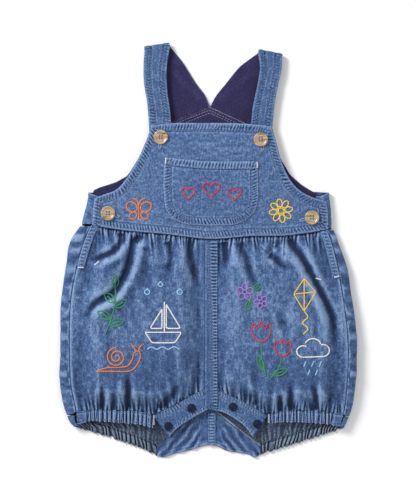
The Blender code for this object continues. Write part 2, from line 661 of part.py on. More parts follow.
def bodice_points(s, mirror, v, inset, middle, top_y, short):
    """x, y and z of the back bodice, from its waist (v 1) to its upper edge (v 0)."""
    points = []
    for side in ("left", "right"):
        sign = -1 if side == "left" else 1
        outline = graph(((24.0, 133.8), (34.9, 131.6), (47.0, 128.3), (62.0, 125.9)) if sign < 0 else
                        ((24.0, 129.4), (34.9, 129.0), (47.0, 128.2), (62.0, 126.4)))
        wrap_end = 110.0 if sign < 0 else 113.0
        radius = 4.4
        floor_x = sign * (outline(60.0) - radius)
        column_x = np.where(mirror > 2, floor_x + (middle - floor_x) * (mirror - 2), floor_x)
        top = np.where(mirror > 2, top_y(column_x), 56.5 + 4.0 * ease(mirror - 0.5))
        low = back_waist(side, mirror) + SEAM_GAP / 2 + 2.2 * (1 - ease(mirror - 1))
        y = top + (low - top) * v - short * (1 - v) * 0.6
        edge = outline(np.clip(y, 24.0, 62.0))
        turn = sign * (edge - radius)
        angle = math.pi / 2 - math.pi * np.clip(mirror - 1, 0, 1)
        across = turn + sign * (radius - inset) * np.cos(angle)
        up = BODICE_HEIGHT / 2 + (BODICE_HEIGHT / 2 - inset) * np.sin(angle)
        across = np.where(mirror < 1, sign * wrap_end + (turn - sign * wrap_end) * mirror, across)
        across = np.where(mirror > 2, turn + (middle - turn) * (mirror - 2), across)
        up = np.where(mirror >= 2, inset, up)
        points.append(np.dstack([across, y, up]))
    return np.where((s <= 3)[..., None], points[0], points[1])


def strap_points(table, radius, narrow, across):
    """Points of a strap at a distance from the middle of its fold: back run below, front run above."""
    middle = BODICE_HEIGHT / 2
    rows = []
    for which, left_x, left_y, right_x, right_y in table:
        ends = np.array(((left_x, left_y), (right_x, right_y)))
        over = (ends[1] - ends[0]) / np.linalg.norm(ends[1] - ends[0])
        ends = np.array((ends[0] + narrow * over, ends[1] - narrow * over))
        outward = np.array((-over[1], over[0]))
        if which == "fold":
            for k in range(1, FOLD_STEPS):
                angle = -math.pi / 2 + math.pi * k / FOLD_STEPS
                flat = ends + outward * radius * math.cos(angle)
                rows.append((flat, middle + radius * math.sin(angle)))
        else:
            rows.append((ends, middle - radius if which == "back" else middle + radius))
    grid_points = []
    for ends, z in rows:
        line = [ends[0] + (ends[1] - ends[0]) * q for q in across]
        grid_points.append([(x, y, z) for x, y in line])
    return np.array(grid_points)


def build_straps(denim, lining):
    outer = BODICE_HEIGHT / 2
    lining_outer = outer - DENIM_WALL - SEAM_GAP
    for side, table in (("left", LEFT_STRAP), ("right", RIGHT_STRAP)):
        faces = [strap_points(table, radius, 0.0, evenly(3)) for radius in (outer, outer - DENIM_WALL)]
        wall(f"strap_{side}", faces[0], faces[1], denim)
        faces = [
            strap_points(table, radius, 0.5, evenly(3)) for radius in (lining_outer, lining_outer - LINING_WALL)
        ]
        wall(f"strap_{side}_lining", faces[0], faces[1], lining)


def turned(name, profile, segments, finish_material):
    """A solid of revolution about Z from a profile of (radius, height) that starts and ends on the axis."""
    mesh_data = bmesh.new()
    rings = []
    for radius, height in profile:
        if radius == 0.0:
            rings.append([mesh_data.verts.new((0.0, 0.0, height))])
            continue
        angles = [2 * math.pi * k / segments for k in range(segments)]
        rings.append([mesh_data.verts.new((radius * math.cos(a), radius * math.sin(a), height)) for a in angles])
    for low, high in zip(rings, rings[1:]):
        for k in range(segments):
            corners = [low[k % len(low)], low[(k + 1) % len(low)], high[(k + 1) % len(high)], high[k % len(high)]]
            mesh_data.faces.new(list(dict.fromkeys(corners)))
    return finish(name, mesh_data, finish_material)


def build_buttons(resin):
    radius, thick = BUTTON_DIAMETER / 2, BUTTON_THICKNESS
    profile = (
        (0.0, 0.0), (0.72 * radius, 0.0), (0.96 * radius, 0.35 * thick), (radius, 0.62 * thick),
        (0.9 * radius, thick), (0.76 * radius, 0.92 * thick), (0.62 * radius, 0.7 * thick), (0.0, 0.64 * thick),
    )
    for name, x, y, tilt in BUTTONS:
        button = turned(name, profile, 16, resin)
        lift = BUTTON_DIAMETER / 2 * math.sin(math.radians(tilt))
        z = float(bib_height(np.array(x), np.array(y))) + SEAM_GAP + lift
        button.location = (x * MM, y * MM, z * MM)
        button.rotation_euler = (0.0, math.radians(tilt), 0.0)
        drill_data = bmesh.new()
        for k in range(4):
            angle = math.pi / 4 + math.pi / 2 * k
            hole = bmesh.ops.create_cone(
                drill_data, cap_ends=True, segments=6, radius1=BUTTON_HOLE / 2, radius2=BUTTON_HOLE / 2, depth=4 * thick
            )
            shift = (1.9 * math.cos(angle), 1.9 * math.sin(angle), 0.0)
            bmesh.ops.translate(drill_data, vec=shift, verts=hole["verts"])
        drill = finish(f"{name}_drill", drill_data, resin)
        drill.parent = button
        drill.hide_render = True
        drill.display_type = "WIRE"
        holes = button.modifiers.new("holes", "BOOLEAN")
        holes.operation = "DIFFERENCE"
        holes.object = drill


def build_snaps(metal):
    radius = SNAP_DIAMETER / 2
    profile = (
        (0.0, 0.0), (0.94 * radius, 0.0), (radius, 0.35 * SNAP_HEIGHT), (0.82 * radius, 0.85 * SNAP_HEIGHT),
        (0.45 * radius, SNAP_HEIGHT), (0.0, SNAP_HEIGHT),
    )
    for number, (x, y) in enumerate(SNAPS, start=1):
        snap = turned(f"snap_{number}", profile, 14, metal)
        height = centre_z(y) - 0.2 - 3.0 * ease((abs(x) - SNAP_DIAMETER / 2 - 30.0) / 30.0)
        snap.location = (x * MM, y * MM, (float(height) + SEAM_GAP) * MM)


def main():
    clear_scene()
    denim = material("denim", DENIM, 0.9)
    dark_denim = material("denim_back", DENIM_DARK, 0.9)
    twill = material("navy_twill", LINING, 0.85)
    resin = material("marbled_resin", RESIN, 0.3)
    metal = material("snap_lacquer", SNAP_BLUE, 0.45)
    build_back_bodice(dark_denim, twill)
    build_straps(denim, twill)
    build_back_legs(dark_denim)
    build_back_hems(denim)
    build_back_crotch(dark_denim)
    build_front_legs(denim)
    build_front_hems(denim)
    build_front_crotch(denim)
    build_centre_front_seam(denim)
    build_side_plackets(denim)
    build_bib(denim)
    build_pocket(denim)
    build_buttons(resin)
    build_snaps(metal)


main()
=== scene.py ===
"""Baby overalls of stonewashed denim, laid flat on their back on a pale surface, seen from above.

Lengths in the tables are millimetres: X runs to the viewer's right, Y towards the straps, Z up.
"""

import math

import bpy
import numpy as np
from mathutils import Matrix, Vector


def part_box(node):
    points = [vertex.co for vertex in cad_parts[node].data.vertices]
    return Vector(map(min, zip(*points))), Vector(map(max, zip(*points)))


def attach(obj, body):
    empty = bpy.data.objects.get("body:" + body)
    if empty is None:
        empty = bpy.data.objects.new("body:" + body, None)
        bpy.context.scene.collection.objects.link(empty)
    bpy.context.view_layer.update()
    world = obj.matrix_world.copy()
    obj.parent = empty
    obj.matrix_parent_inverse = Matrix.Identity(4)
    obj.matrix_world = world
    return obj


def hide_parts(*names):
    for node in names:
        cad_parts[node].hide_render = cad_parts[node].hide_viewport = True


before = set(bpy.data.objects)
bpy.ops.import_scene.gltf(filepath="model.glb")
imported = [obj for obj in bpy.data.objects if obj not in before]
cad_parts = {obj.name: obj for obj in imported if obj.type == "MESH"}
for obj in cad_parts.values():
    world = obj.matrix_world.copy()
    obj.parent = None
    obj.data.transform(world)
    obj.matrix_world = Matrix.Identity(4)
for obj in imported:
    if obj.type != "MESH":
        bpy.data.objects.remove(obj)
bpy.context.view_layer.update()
bpy.ops.object.select_all(action="DESELECT")

# Back legs: two panels of washed denim. They lie on the surface, wrap round each side and end in the side
# seams on top, so the wrap shows beside the front legs and the inside shows above the hems, where it takes
# a darker denim as painted shade.
MM = 0.001
SEAM_GAP = 0.3
SHELL = 1.0
# y, outline x, side seam x and height of the side there
LEFT_SIDE = (
    (27.8, -132.9, -122.7, 9.5), (9.5, -144.9, -130.2, 10.5), (-17.9, -149.9, -138.2, 12.0),
    (-48.3, -154.6, -143.9, 13.5), (-95.0, -155.5, -145.8, 15.0), (-146.0, -155.2, -143.6, 14.0),
    (-171.2, -149.5, -138.6, 12.0), (-182.7, -144.4, -137.6, 11.0), (-187.0, -140.0, -133.5, 10.5),
)
RIGHT_SIDE = (
    (27.8, 128.6, 121.5, 9.5), (8.0, 136.4, 129.0, 10.5), (-15.0, 144.8, 134.9, 12.0),
    (-48.3, 150.6, 141.0, 13.5), (-95.0, 155.9, 146.4, 15.0), (-146.0, 153.7, 145.0, 14.0),
    (-171.2, 149.0, 141.8, 12.0), (-182.7, 144.4, 138.2, 11.0), (-187.0, 142.5, 136.0, 10.5),
)
LEFT_BACK_LOW = (
    (-140.0, -185.5), (-129.3, -188.8), (-113.3, -193.5), (-97.3, -198.9), (-81.4, -204.2),
    (-65.4, -210.5), (-54.8, -215.6), (-47.5, -218.4),
)
RIGHT_BACK_LOW = (
    (48.5, -218.4), (56.9, -214.2), (72.6, -209.0), (90.6, -203.7), (108.7, -198.1),
    (126.7, -192.2), (142.5, -186.7),
)
CROTCH_BACK_TOP = ((-54.2, -206.0), (0.0, -164.0), (54.2, -206.0))
BACK_HEM_WIDTH = 11.5
BACK_WAIST = {"left": 25.0, "centre": 20.0, "right": 21.0}
SIDE_SEAM_LOW = {"left": -169.5, "right": -171.9}
SIDE_ROUNDNESS = 0.72


def ease(x):
    """0 below 0, 1 above 1, and a soft rise between."""
    q = np.clip(x, 0.0, 1.0)
    return q * q * (3 - 2 * q)


def bell(x, middle, width):
    """1 at the middle, and less to each side."""
    return np.exp(-(((x - middle) / width) ** 2))


def grid(columns, rows):
    """Places from 0 to 1 across and down a panel."""
    return np.meshgrid(np.linspace(0, 1, columns), np.linspace(0, 1, rows))


def sections(*stretches):
    """Places along joined stretches, each given by its start, end and number of places."""
    return np.concatenate([np.linspace(*stretches[0])] + [np.linspace(*each)[1:] for each in stretches[1:]])


def curve(keys, values):
    """A smooth curve through values or points that stand at rising keys."""
    slopes = np.gradient(values, keys, axis=0)
    wide = (..., *[None] * (values.ndim - 1))

    def at(x):
        x = np.clip(np.asarray(x, float), keys[0], keys[-1])
        i = np.clip(np.searchsorted(keys, x, side="right") - 1, 0, len(keys) - 2)
        span = (keys[i + 1] - keys[i])[wide]
        q = (x - keys[i])[wide] / span
        start = (2 * q**3 - 3 * q**2 + 1) * values[i] + (q**3 - 2 * q**2 + q) * span * slopes[i]
        end = (3 * q**2 - 2 * q**3) * values[i + 1] + (q**3 - q**2) * span * slopes[i + 1]
        return start + end

    return at


def graph(points, column=1):
    """A smooth value over x, read from a table whose first column rises or falls."""
    rows = np.array(sorted(points), float)
    return curve(rows[:, 0], rows[:, column])


def distances(line):
    """How far along a line each of its points lies."""
    return np.concatenate([[0.0], np.cumsum(np.linalg.norm(np.diff(line, axis=0), axis=1))])


def lumps(x, y, size_x, size_y, seed):
    """Soft random rises and falls of the cloth, from -1 to 1, of a given size each way."""
    lattice = np.random.default_rng(seed).uniform(-1, 1, (64, 64))
    p, q = np.asarray(x, float) / size_x, np.asarray(y, float) / size_y
    i, j = np.floor(p).astype(int), np.floor(q).astype(int)
    a, b = ease(p - i), ease(q - j)
    upper = (1 - a) * lattice[i % 64, j % 64] + a * lattice[(i + 1) % 64, j % 64]
    lower = (1 - a) * lattice[i % 64, (j + 1) % 64] + a * lattice[(i + 1) % 64, (j + 1) % 64]
    return (1 - b) * upper + b * lower


def wash_and_trough_shade(height, reach=4, strength=0.35):
    """How the stonewash and painted shade take the cloth: 1 on a ridge, paled by the stonewash, and -1 in a
    trough, darkened by the stonewash and as painted shade, by height over what is near.
    """
    soft = height
    for axis in (0, 1):
        ends = [(reach, reach) if k == axis else (0, 0) for k in (0, 1)]
        wide = np.pad(soft, ends, mode="edge")
        count = height.shape[axis]
        shifted = [np.take(wide, range(k, k + count), axis=axis) for k in range(2 * reach + 1)]
        soft = sum(shifted) / len(shifted)
    return np.clip((height - soft) / strength, -1.0, 1.0)


def squares(index):
    """The faces of a grid of point numbers."""
    corners = (index[:-1, :-1], index[1:, :-1], index[1:, 1:], index[:-1, 1:])
    return np.stack(corners, axis=-1).reshape(-1, 4)


def border(index):
    """The four edges of a grid of point numbers, in a ring."""
    return (index[0], index[:, -1], index[-1, ::-1], index[::-1, 0])


def cloth(
    node, outer, inner, finish, wear_and_shade, ratio=4, inside=0.4,
):
    """The thin shell that stands for a cloth node, between two grids of points."""
    low = inner[::ratio, ::ratio]
    points = np.concatenate([outer.reshape(-1, 3), low.reshape(-1, 3)]) * MM
    over = np.arange(outer.shape[0] * outer.shape[1]).reshape(outer.shape[:2])
    under = over.size + np.arange(low.shape[0] * low.shape[1]).reshape(low.shape[:2])
    quads = np.concatenate([squares(over), squares(under)[:, ::-1]])
    rims = []
    for rim, far in zip(border(over), border(under)):
        step = np.arange(len(rim) - 1)
        rims.append(np.stack([far[step // ratio], rim[:-1], rim[1:]], axis=1))
        rims.append(np.stack([far[:-1], rim[ratio::ratio], far[1:]], axis=1))
    rims = np.concatenate(rims)
    corners = points[np.concatenate([quads[:, :3], quads[:, [0, 2, 3]], rims])]
    if np.einsum("ij,ij->i", corners[:, 0], np.cross(corners[:, 1], corners[:, 2])).sum() < 0:
        quads, rims = quads[:, ::-1], rims[:, ::-1]
    mesh = bpy.data.meshes.new(f"{node}_cloth")
    mesh.from_pydata(points, [], quads.tolist() + rims.tolist())
    across = np.cumsum(np.linalg.norm(np.diff(outer, axis=1, prepend=outer[:, :1]), axis=2), axis=1)
    down = np.cumsum(np.linalg.norm(np.diff(outer, axis=0, prepend=outer[:1]), axis=2), axis=0)
    middle = outer.shape[1] // 2
    weave = np.dstack([across - across[:, middle : middle + 1], -down]) * MM
    weave = np.concatenate([weave.reshape(-1, 2), weave[::ratio, ::ratio].reshape(-1, 2)])
    ends = np.empty(len(mesh.loops), int)
    mesh.loops.foreach_get("vertex_index", ends)
    mesh.uv_layers.new(name="weave").data.foreach_set("uv", weave[ends].astype(np.float32).ravel())
    wear_and_shade = wear_and_shade * np.ones(outer.shape[:2])
    # The underside's worn paleness is halved and its colour lowered by the inside amount, as painted shade
    # on inner faces that show in the openings.
    wear_and_shade = np.concatenate([wear_and_shade.ravel(), 0.5 * wear_and_shade[::ratio, ::ratio].ravel() - inside])
    mesh.attributes.new("wear_and_shade", "FLOAT", "POINT").data.foreach_set("value", wear_and_shade.astype(np.float32))
    mesh.shade_smooth()
    mesh.set_sharp_from_angle(angle=math.radians(75))
    mesh.materials.append(finish)
    piece = bpy.data.objects.new(f"{node}_cloth", mesh)
    bpy.context.scene.collection.objects.link(piece)
    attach(piece, "root")
    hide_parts(node)
    return piece


def add_node(tree, kind, inputs=None, **settings):
    """A shader node with its settings, and its inputs set or linked."""
    made = tree.nodes.new(kind)
    for key, value in settings.items():
        setattr(made, key, value)
    for key, value in (inputs or {}).items():
        if isinstance(value, bpy.types.NodeSocket):
            tree.links.new(value, made.inputs[key])
        else:
            made.inputs[key].default_value = value
    return made


def maths(tree, operation, *values):
    """The result of a maths node."""
    return add_node(tree, "ShaderNodeMath", dict(enumerate(values)), operation=operation).outputs[0]


def blended(tree, factor, first, second):
    """A colour between two others."""
    made = add_node(tree, "ShaderNodeMix", {0: factor, 6: first, 7: second}, data_type="RGBA")
    return made.outputs[2]


def noise(tree, vector, scale, detail=2.0):
    """Noise from 0 to 1."""
    made = add_node(tree, "ShaderNodeTexNoise", {"Vector": vector, "Scale": scale, "Detail": detail})
    return made.outputs["Fac"]


def stretched(tree, vector, across, along):
    """Places scaled on two axes, for a pattern that is finer one way than the other."""
    made = add_node(tree, "ShaderNodeMapping", {"Vector": vector, "Scale": (across, along, 1.0)})
    return made.outputs[0]


def woven_group():
    """Woven cotton: diagonal twill lines, slubby warp streaks, grain and cloudy dye, faded where the cloth
    is worn and darkened as painted shade where its worn-and-shaded input is below zero, in troughs and on
    inner faces.
    """
    tree = bpy.data.node_groups.new("woven_cotton", "ShaderNodeTree")
    for name, kind in (
        ("Weave", "NodeSocketVector"), ("Place", "NodeSocketVector"), ("Wear_and_shade", "NodeSocketFloat"),
        ("Dye", "NodeSocketColor"), ("Faded", "NodeSocketColor"), ("Dark", "NodeSocketColor"),
        ("Streaks", "NodeSocketFloat"), ("Pitch", "NodeSocketFloat"),
    ):
        tree.interface.new_socket(name, in_out="INPUT", socket_type=kind)
    for name, kind in (
        ("Color", "NodeSocketColor"), ("Roughness", "NodeSocketFloat"), ("Height", "NodeSocketFloat"),
    ):
        tree.interface.new_socket(name, in_out="OUTPUT", socket_type=kind)
    given = tree.nodes.new("NodeGroupInput").outputs
    ends = tree.nodes.new("NodeGroupOutput").inputs
    split = add_node(tree, "ShaderNodeSeparateXYZ", {0: given["Weave"]}).outputs
    slant = maths(tree, "ADD", split[0], maths(tree, "MULTIPLY", split[1], 0.55))
    twill = maths(tree, "SINE", maths(tree, "DIVIDE", slant, given["Pitch"]))
    slub = noise(tree, stretched(tree, given["Weave"], 850.0, 110.0), 1.0, 3.0)
    weft = noise(tree, stretched(tree, given["Weave"], 60.0, 700.0), 1.0, 2.0)
    grain = noise(tree, given["Weave"], 620.0, 3.0)
    fleck = noise(tree, stretched(tree, given["Weave"], 560.0, 380.0), 1.0, 2.0)
    cloud = noise(tree, given["Place"], 42.0, 3.0)
    broad = noise(tree, given["Place"], 14.0, 2.0)
    fade = maths(tree, "MULTIPLY", maths(tree, "SUBTRACT", slub, 0.5), given["Streaks"])
    for pattern, weight in ((grain, 1.5), (fleck, 1.4), (weft, 0.35), (cloud, 0.35), (broad, 0.4)):
        fade = maths(tree, "MULTIPLY_ADD", maths(tree, "SUBTRACT", pattern, 0.5), weight, fade)
    fade = maths(tree, "MULTIPLY_ADD", twill, 0.10, fade)
    fade = maths(tree, "MULTIPLY_ADD", given["Wear_and_shade"], 0.8, fade)
    paler = add_node(tree, "ShaderNodeClamp", {0: fade}).outputs[0]
    darker = add_node(tree, "ShaderNodeClamp", {0: maths(tree, "MULTIPLY", fade, -1.0)}).outputs[0]
    colour = blended(tree, paler, given["Dye"], given["Faded"])
    colour = blended(tree, darker, colour, given["Dark"])
    tree.links.new(colour, ends["Color"])
    rough = maths(tree, "MULTIPLY_ADD", grain, 0.16, 0.78)
    tree.links.new(rough, ends["Roughness"])
    height = maths(tree, "ADD", grain, maths(tree, "MULTIPLY", slub, 0.8))
    tree.links.new(maths(tree, "MULTIPLY_ADD", twill, 0.25, height), ends["Height"])
    return tree


woven_cotton = woven_group()


def new_material(name):
    """A new material, its node tree and its shader."""
    made = bpy.data.materials.new(name)
    made.use_nodes = True
    return made, made.node_tree, made.node_tree.nodes["Principled BSDF"]


def woven(name, dye, faded, dark, streaks, pitch, bump):
    """A cotton cloth: its three colours, its streaks, and its twill's pitch in metres and relief."""
    made, tree, shader = new_material(name)
    weave = add_node(tree, "ShaderNodeUVMap", uv_map="weave").outputs[0]
    place = add_node(tree, "ShaderNodeTexCoord").outputs["Object"]
    wear_and_shade = add_node(tree, "ShaderNodeAttribute", attribute_name="wear_and_shade").outputs["Fac"]
    body = tree.nodes.new("ShaderNodeGroup")
    body.node_tree = woven_cotton
    for socket, value in (("Weave", weave), ("Place", place), ("Wear_and_shade", wear_and_shade)):
        tree.links.new(value, body.inputs[socket])
    for socket, value in (("Dye", dye), ("Faded", faded), ("Dark", dark)):
        body.inputs[socket].default_value = (*value, 1.0)
    body.inputs["Streaks"].default_value = streaks
    body.inputs["Pitch"].default_value = pitch / math.tau
    tree.links.new(body.outputs["Color"], shader.inputs["Base Color"])
    tree.links.new(body.outputs["Roughness"], shader.inputs["Roughness"])
    height = body.outputs["Height"]
    raised = add_node(tree, "ShaderNodeBump", {"Height": height, "Distance": 0.0002, "Strength": bump})
    tree.links.new(raised.outputs[0], shader.inputs["Normal"])
    shader.inputs["Specular IOR Level"].default_value = 0.2
    shader.inputs["Sheen Weight"].default_value = 0.08
    return made


denim = woven(
    "washed_denim", dye=(0.054, 0.108, 0.242), faded=(0.215, 0.315, 0.50), dark=(0.008, 0.020, 0.062),
    streaks=1.1, pitch=0.00062, bump=0.45,
)
# A darker denim for inner faces that show in the openings, as painted shade; the real wrong side is paler.
shaded_inside_denim = woven(
    "denim_inside_painted_shade", dye=(0.040, 0.060, 0.105), faded=(0.22, 0.28, 0.38), dark=(0.006, 0.011, 0.03),
    streaks=0.7, pitch=0.00062, bump=0.4,
)

SIDES = {
    side: {name: graph(table, column) for column, name in enumerate(("outline", "seam", "height"), start=1)}
    for side, table in (("left", LEFT_SIDE), ("right", RIGHT_SIDE))
}


def side_section(side, s, y, inset, centre_x):
    """A back piece's section: side seam on top (s 0), round the side (1 to 2), to the centre (3)."""
    sign = -1 if side == "left" else 1
    outline, seam = SIDES[side]["outline"](y), SIDES[side]["seam"](y)
    height = SIDES[side]["height"](y)
    radius = SIDE_ROUNDNESS * np.abs(outline - seam)
    turn = outline - sign * radius
    angle = math.pi / 2 - math.pi * np.clip(s - 1, 0, 1)
    across = turn + sign * (radius - inset) * np.cos(angle)
    up = height / 2 + (height / 2 - inset) * np.sin(angle)
    across = np.where(s < 1, seam + (turn - seam) * s, across)
    across = np.where(s > 2, turn + (centre_x - turn) * (s - 2), across)
    return across, up


def hem_edge(side, s, low_line, above, centre_x):
    """y of a line that runs a distance above the back's lower edge, at each column of a section."""
    y = np.full_like(s, -190.0)
    for _ in range(8):
        x = side_section(side, np.maximum(s, 2.0), y, 0.0, centre_x)[0]
        y = low_line(x) + above
    return y


def gathers(place, down, first, last, spacing, depth, reach, seed):
    """Uneven pleats that run down from a seam: how deep the cloth lies in them, from 0."""
    chance = np.random.default_rng(seed)
    deepest = np.zeros(place.shape)
    at = first
    while at < last:
        wide = spacing * chance.uniform(0.20, 0.34)
        long = reach * chance.uniform(0.45, 2.1)
        lean = chance.uniform(-0.22, 0.22)
        deep = depth * chance.uniform(0.5, 1.2)
        shape = (place - at - lean * down) / (wide * (1 + 0.6 * np.clip(down, 0, None) / reach))
        deepest = np.maximum(deepest, deep * np.exp(-(shape**2) - (np.clip(down, 0, None) / long) ** 1.4))
        at += spacing * chance.uniform(0.7, 1.35)
    return deepest


for side, sign, low in (("left", -1, LEFT_BACK_LOW), ("right", 1, RIGHT_BACK_LOW)):
    columns = sections((0, 1, 5), (1, 2, 17), (2, 3, 113))
    s, v = np.meshgrid(columns, 1 - (1 - np.linspace(0, 1, 97)) ** 1.5)
    centre_x = sign * SEAM_GAP / 2
    hem = hem_edge(side, s, graph(low), BACK_HEM_WIDTH, centre_x)
    seam_low = SIDE_SEAM_LOW[side]
    hem = np.where(s < 2, seam_low + (hem[0, 20] - seam_low) * ease(s / 2), hem)
    hem_x = side_section(side, s, hem, 0.0, centre_x)[0]
    crotch_y = np.interp(hem_x, *np.array(CROTCH_BACK_TOP).T)
    low_edge = np.where(np.abs(hem_x) < CROTCH_BACK_TOP[-1][0], crotch_y + 2 * SEAM_GAP, hem)
    top = BACK_WAIST[side] + (BACK_WAIST["centre"] - BACK_WAIST[side]) * np.clip(s - 2, 0, 1) - SEAM_GAP / 2
    y = top + (low_edge - top) * v
    # Slanting drag lines on the wrap; the part on the surface stays flat.
    drag = 0.55 * lumps(s * 9 + y * 0.3, y, 7.0, 6.5, 11) + 0.3 * lumps(s * 9, y, 4.0, 3.0, 12)
    drag = drag * (1 - ease((s - 1.45) / 0.4)) - 0.5 * bell(s, 0.0, 0.12)
    floor = ease((s - 1.9) / 0.2)
    settled = 0.35 * floor * (lumps(s * 60, y, 14.0, 18.0, 13) + 1.0)
    puckers = floor * gathers(s * 135, y - low_edge, 265.0, 406.0, 4.4, 1.3, 11.0, 14)
    puckers = puckers * ease((np.abs(hem_x) - 50.0) / 8.0)
    grids = []
    for inset in (0.0, 0.9 * SHELL + puckers):
        across, up = side_section(side, s, y, inset - drag + settled, centre_x)
        grids.append(np.dstack([across, y, up]))
    wear_and_shade = np.clip(wash_and_trough_shade(drag, 3), -0.6, 1.0) - 0.05 + 0.7 * bell(s, 0.12, 0.1)
    wear_and_shade = wear_and_shade * (1 - floor) + floor * 1.2 * wash_and_trough_shade(puckers, 2, 0.3)
    panel = cloth(
        f"back_leg_{side}", grids[0], grids[1], denim, wear_and_shade,
        ratio=1, inside=0.0,
    )
    # Upward inner faces near the surface, under the front legs, take the darker denim as painted shade.
    panel.data.materials.append(shaded_inside_denim)
    for face in panel.data.polygons:
        if face.normal.z > 0.2 and face.center.z < 4.5 * MM:
            face.material_index = 1

# Crotch panel at the back: a shaped facing under the front's snap plackets, joined in the middle by
# a felled seam with two rows of stitching, its gathers fanning out from the ends of the leg elastic.
CROTCH_BACK_LOW = (
    (-54.2, -216.2), (-48.0, -218.4), (-40.0, -215.8), (-28.1, -212.7), (-17.9, -210.4), (-0.9, -205.6),
    (8.6, -206.4), (18.3, -211.0), (30.3, -213.2), (42.4, -215.4), (49.0, -218.4), (54.2, -215.8),
)


def run(points):
    """A smooth line through the points, as a function of 0 to 1 along it."""
    knots = np.array(points, float)
    gone = distances(knots)
    return curve(gone / gone[-1], knots)


def joined(first, second, corner):
    """Two lines as one, with a corner where the first ends."""

    def at(s):
        s = np.asarray(s, float)[..., None]
        early = first(s[..., 0] / corner)
        late = second((s[..., 0] - corner) / (1 - corner))
        return np.where(s <= corner, early, late)

    return at


def patch(left, right, top, bottom):
    """The cloth inside four edges, each a function of 0 to 1: u runs to the right, v downwards."""
    corners = [line(end) for line in (top, bottom) for end in (0.0, 1.0)]

    def at(u, v):
        a, b = u[..., None], v[..., None]
        sides = (1 - b) * top(u) + b * bottom(u) + (1 - a) * left(v) + a * right(v)
        upper = (1 - a) * corners[0] + a * corners[1]
        lower = (1 - a) * corners[2] + a * corners[3]
        return sides - (1 - b) * upper - b * lower

    return at


def between(top, bottom, u, v):
    """The places u, v on the cloth between an upper and a lower line, with straight ends."""
    left, right = (run((top(end), bottom(end))) for end in (0.0, 1.0))
    return patch(left, right, top, bottom)(u, v)


def near(x, y, line):
    """How far points are from a line, how far along it they lie, and on which side."""
    away, along, side = np.full(x.shape, 1e9), np.zeros(x.shape), np.ones(x.shape)
    gone = 0.0
    for a, b in zip(line, line[1:]):
        step = b - a
        length = math.hypot(*step)
        if length == 0.0:
            continue
        q = np.clip(((x - a[0]) * step[0] + (y - a[1]) * step[1]) / length**2, 0, 1)
        dx, dy = x - a[0] - q * step[0], y - a[1] - q * step[1]
        distance = np.hypot(dx, dy)
        closer = distance < away
        away = np.where(closer, distance, away)
        along = np.where(closer, gone + q * length, along)
        side = np.where(closer, np.sign(step[0] * dy - step[1] * dx), side)
        gone += length
    return away, along, side


back_crotch_low = run(CROTCH_BACK_LOW)
back_crotch_edge = back_crotch_low(np.linspace(0, 1, 60))


def back_crotch_surface(x, y):
    """The panel's upper face, with gathers that fan out from the two lower corners."""
    away = np.abs(x - 3.0)
    fan = 0.75 * np.cos((away + 0.75 * (y + 200.0) + 1.6 * lumps(x, y, 9.0, 9.0, 21)) / 1.7)
    fan = fan * ease((away - 8.0) / 8.0) * ease((-y - 176.0) / 12.0)
    edge = near(x, y, back_crotch_edge)[0]
    roll = 0.35 * ease(edge / 1.2) * ease((6.5 - edge) / 2.0) - 0.9 * bell(edge, 0.0, 0.8)
    return 2.7 + fan + roll + 0.25 * lumps(x, y, 7.0, 5.0, 22)


first, middle, last = CROTCH_BACK_TOP
top_line = joined(run((first, middle)), run((middle, last)), 0.5)
plan = between(top_line, back_crotch_low, *grid(181, 61))
top = back_crotch_surface(plan[..., 0], plan[..., 1])
edge = near(plan[..., 0], plan[..., 1], back_crotch_edge)[0]
wear_and_shade = wash_and_trough_shade(top) + 0.8 * bell(edge, 0.0, 1.3) - 0.1
cloth(
    "back_crotch_placket", np.dstack([plan, top]), np.dstack([plan, np.maximum(top - 1.6, 0.0)]), denim,
    wear_and_shade,
)

u, v = grid(25, 61)
across, down = 3.5 + 8.0 * (u - 0.5), -171.0 - 34.0 * v
rung = 0.22 * np.sin(math.tau * down / 3.1) * ease(u * 4) * ease((1 - u) * 4)
top = 4.0 + 0.4 * np.sin(math.pi * u) + rung - 0.25 * bell(u, 0.2, 0.05) - 0.25 * bell(u, 0.8, 0.05)
cloth(
    "centre_back_seam", np.dstack([across, down, top]), np.dstack([across, down, top - SHELL]), denim,
    wash_and_trough_shade(top) + 0.25,
)

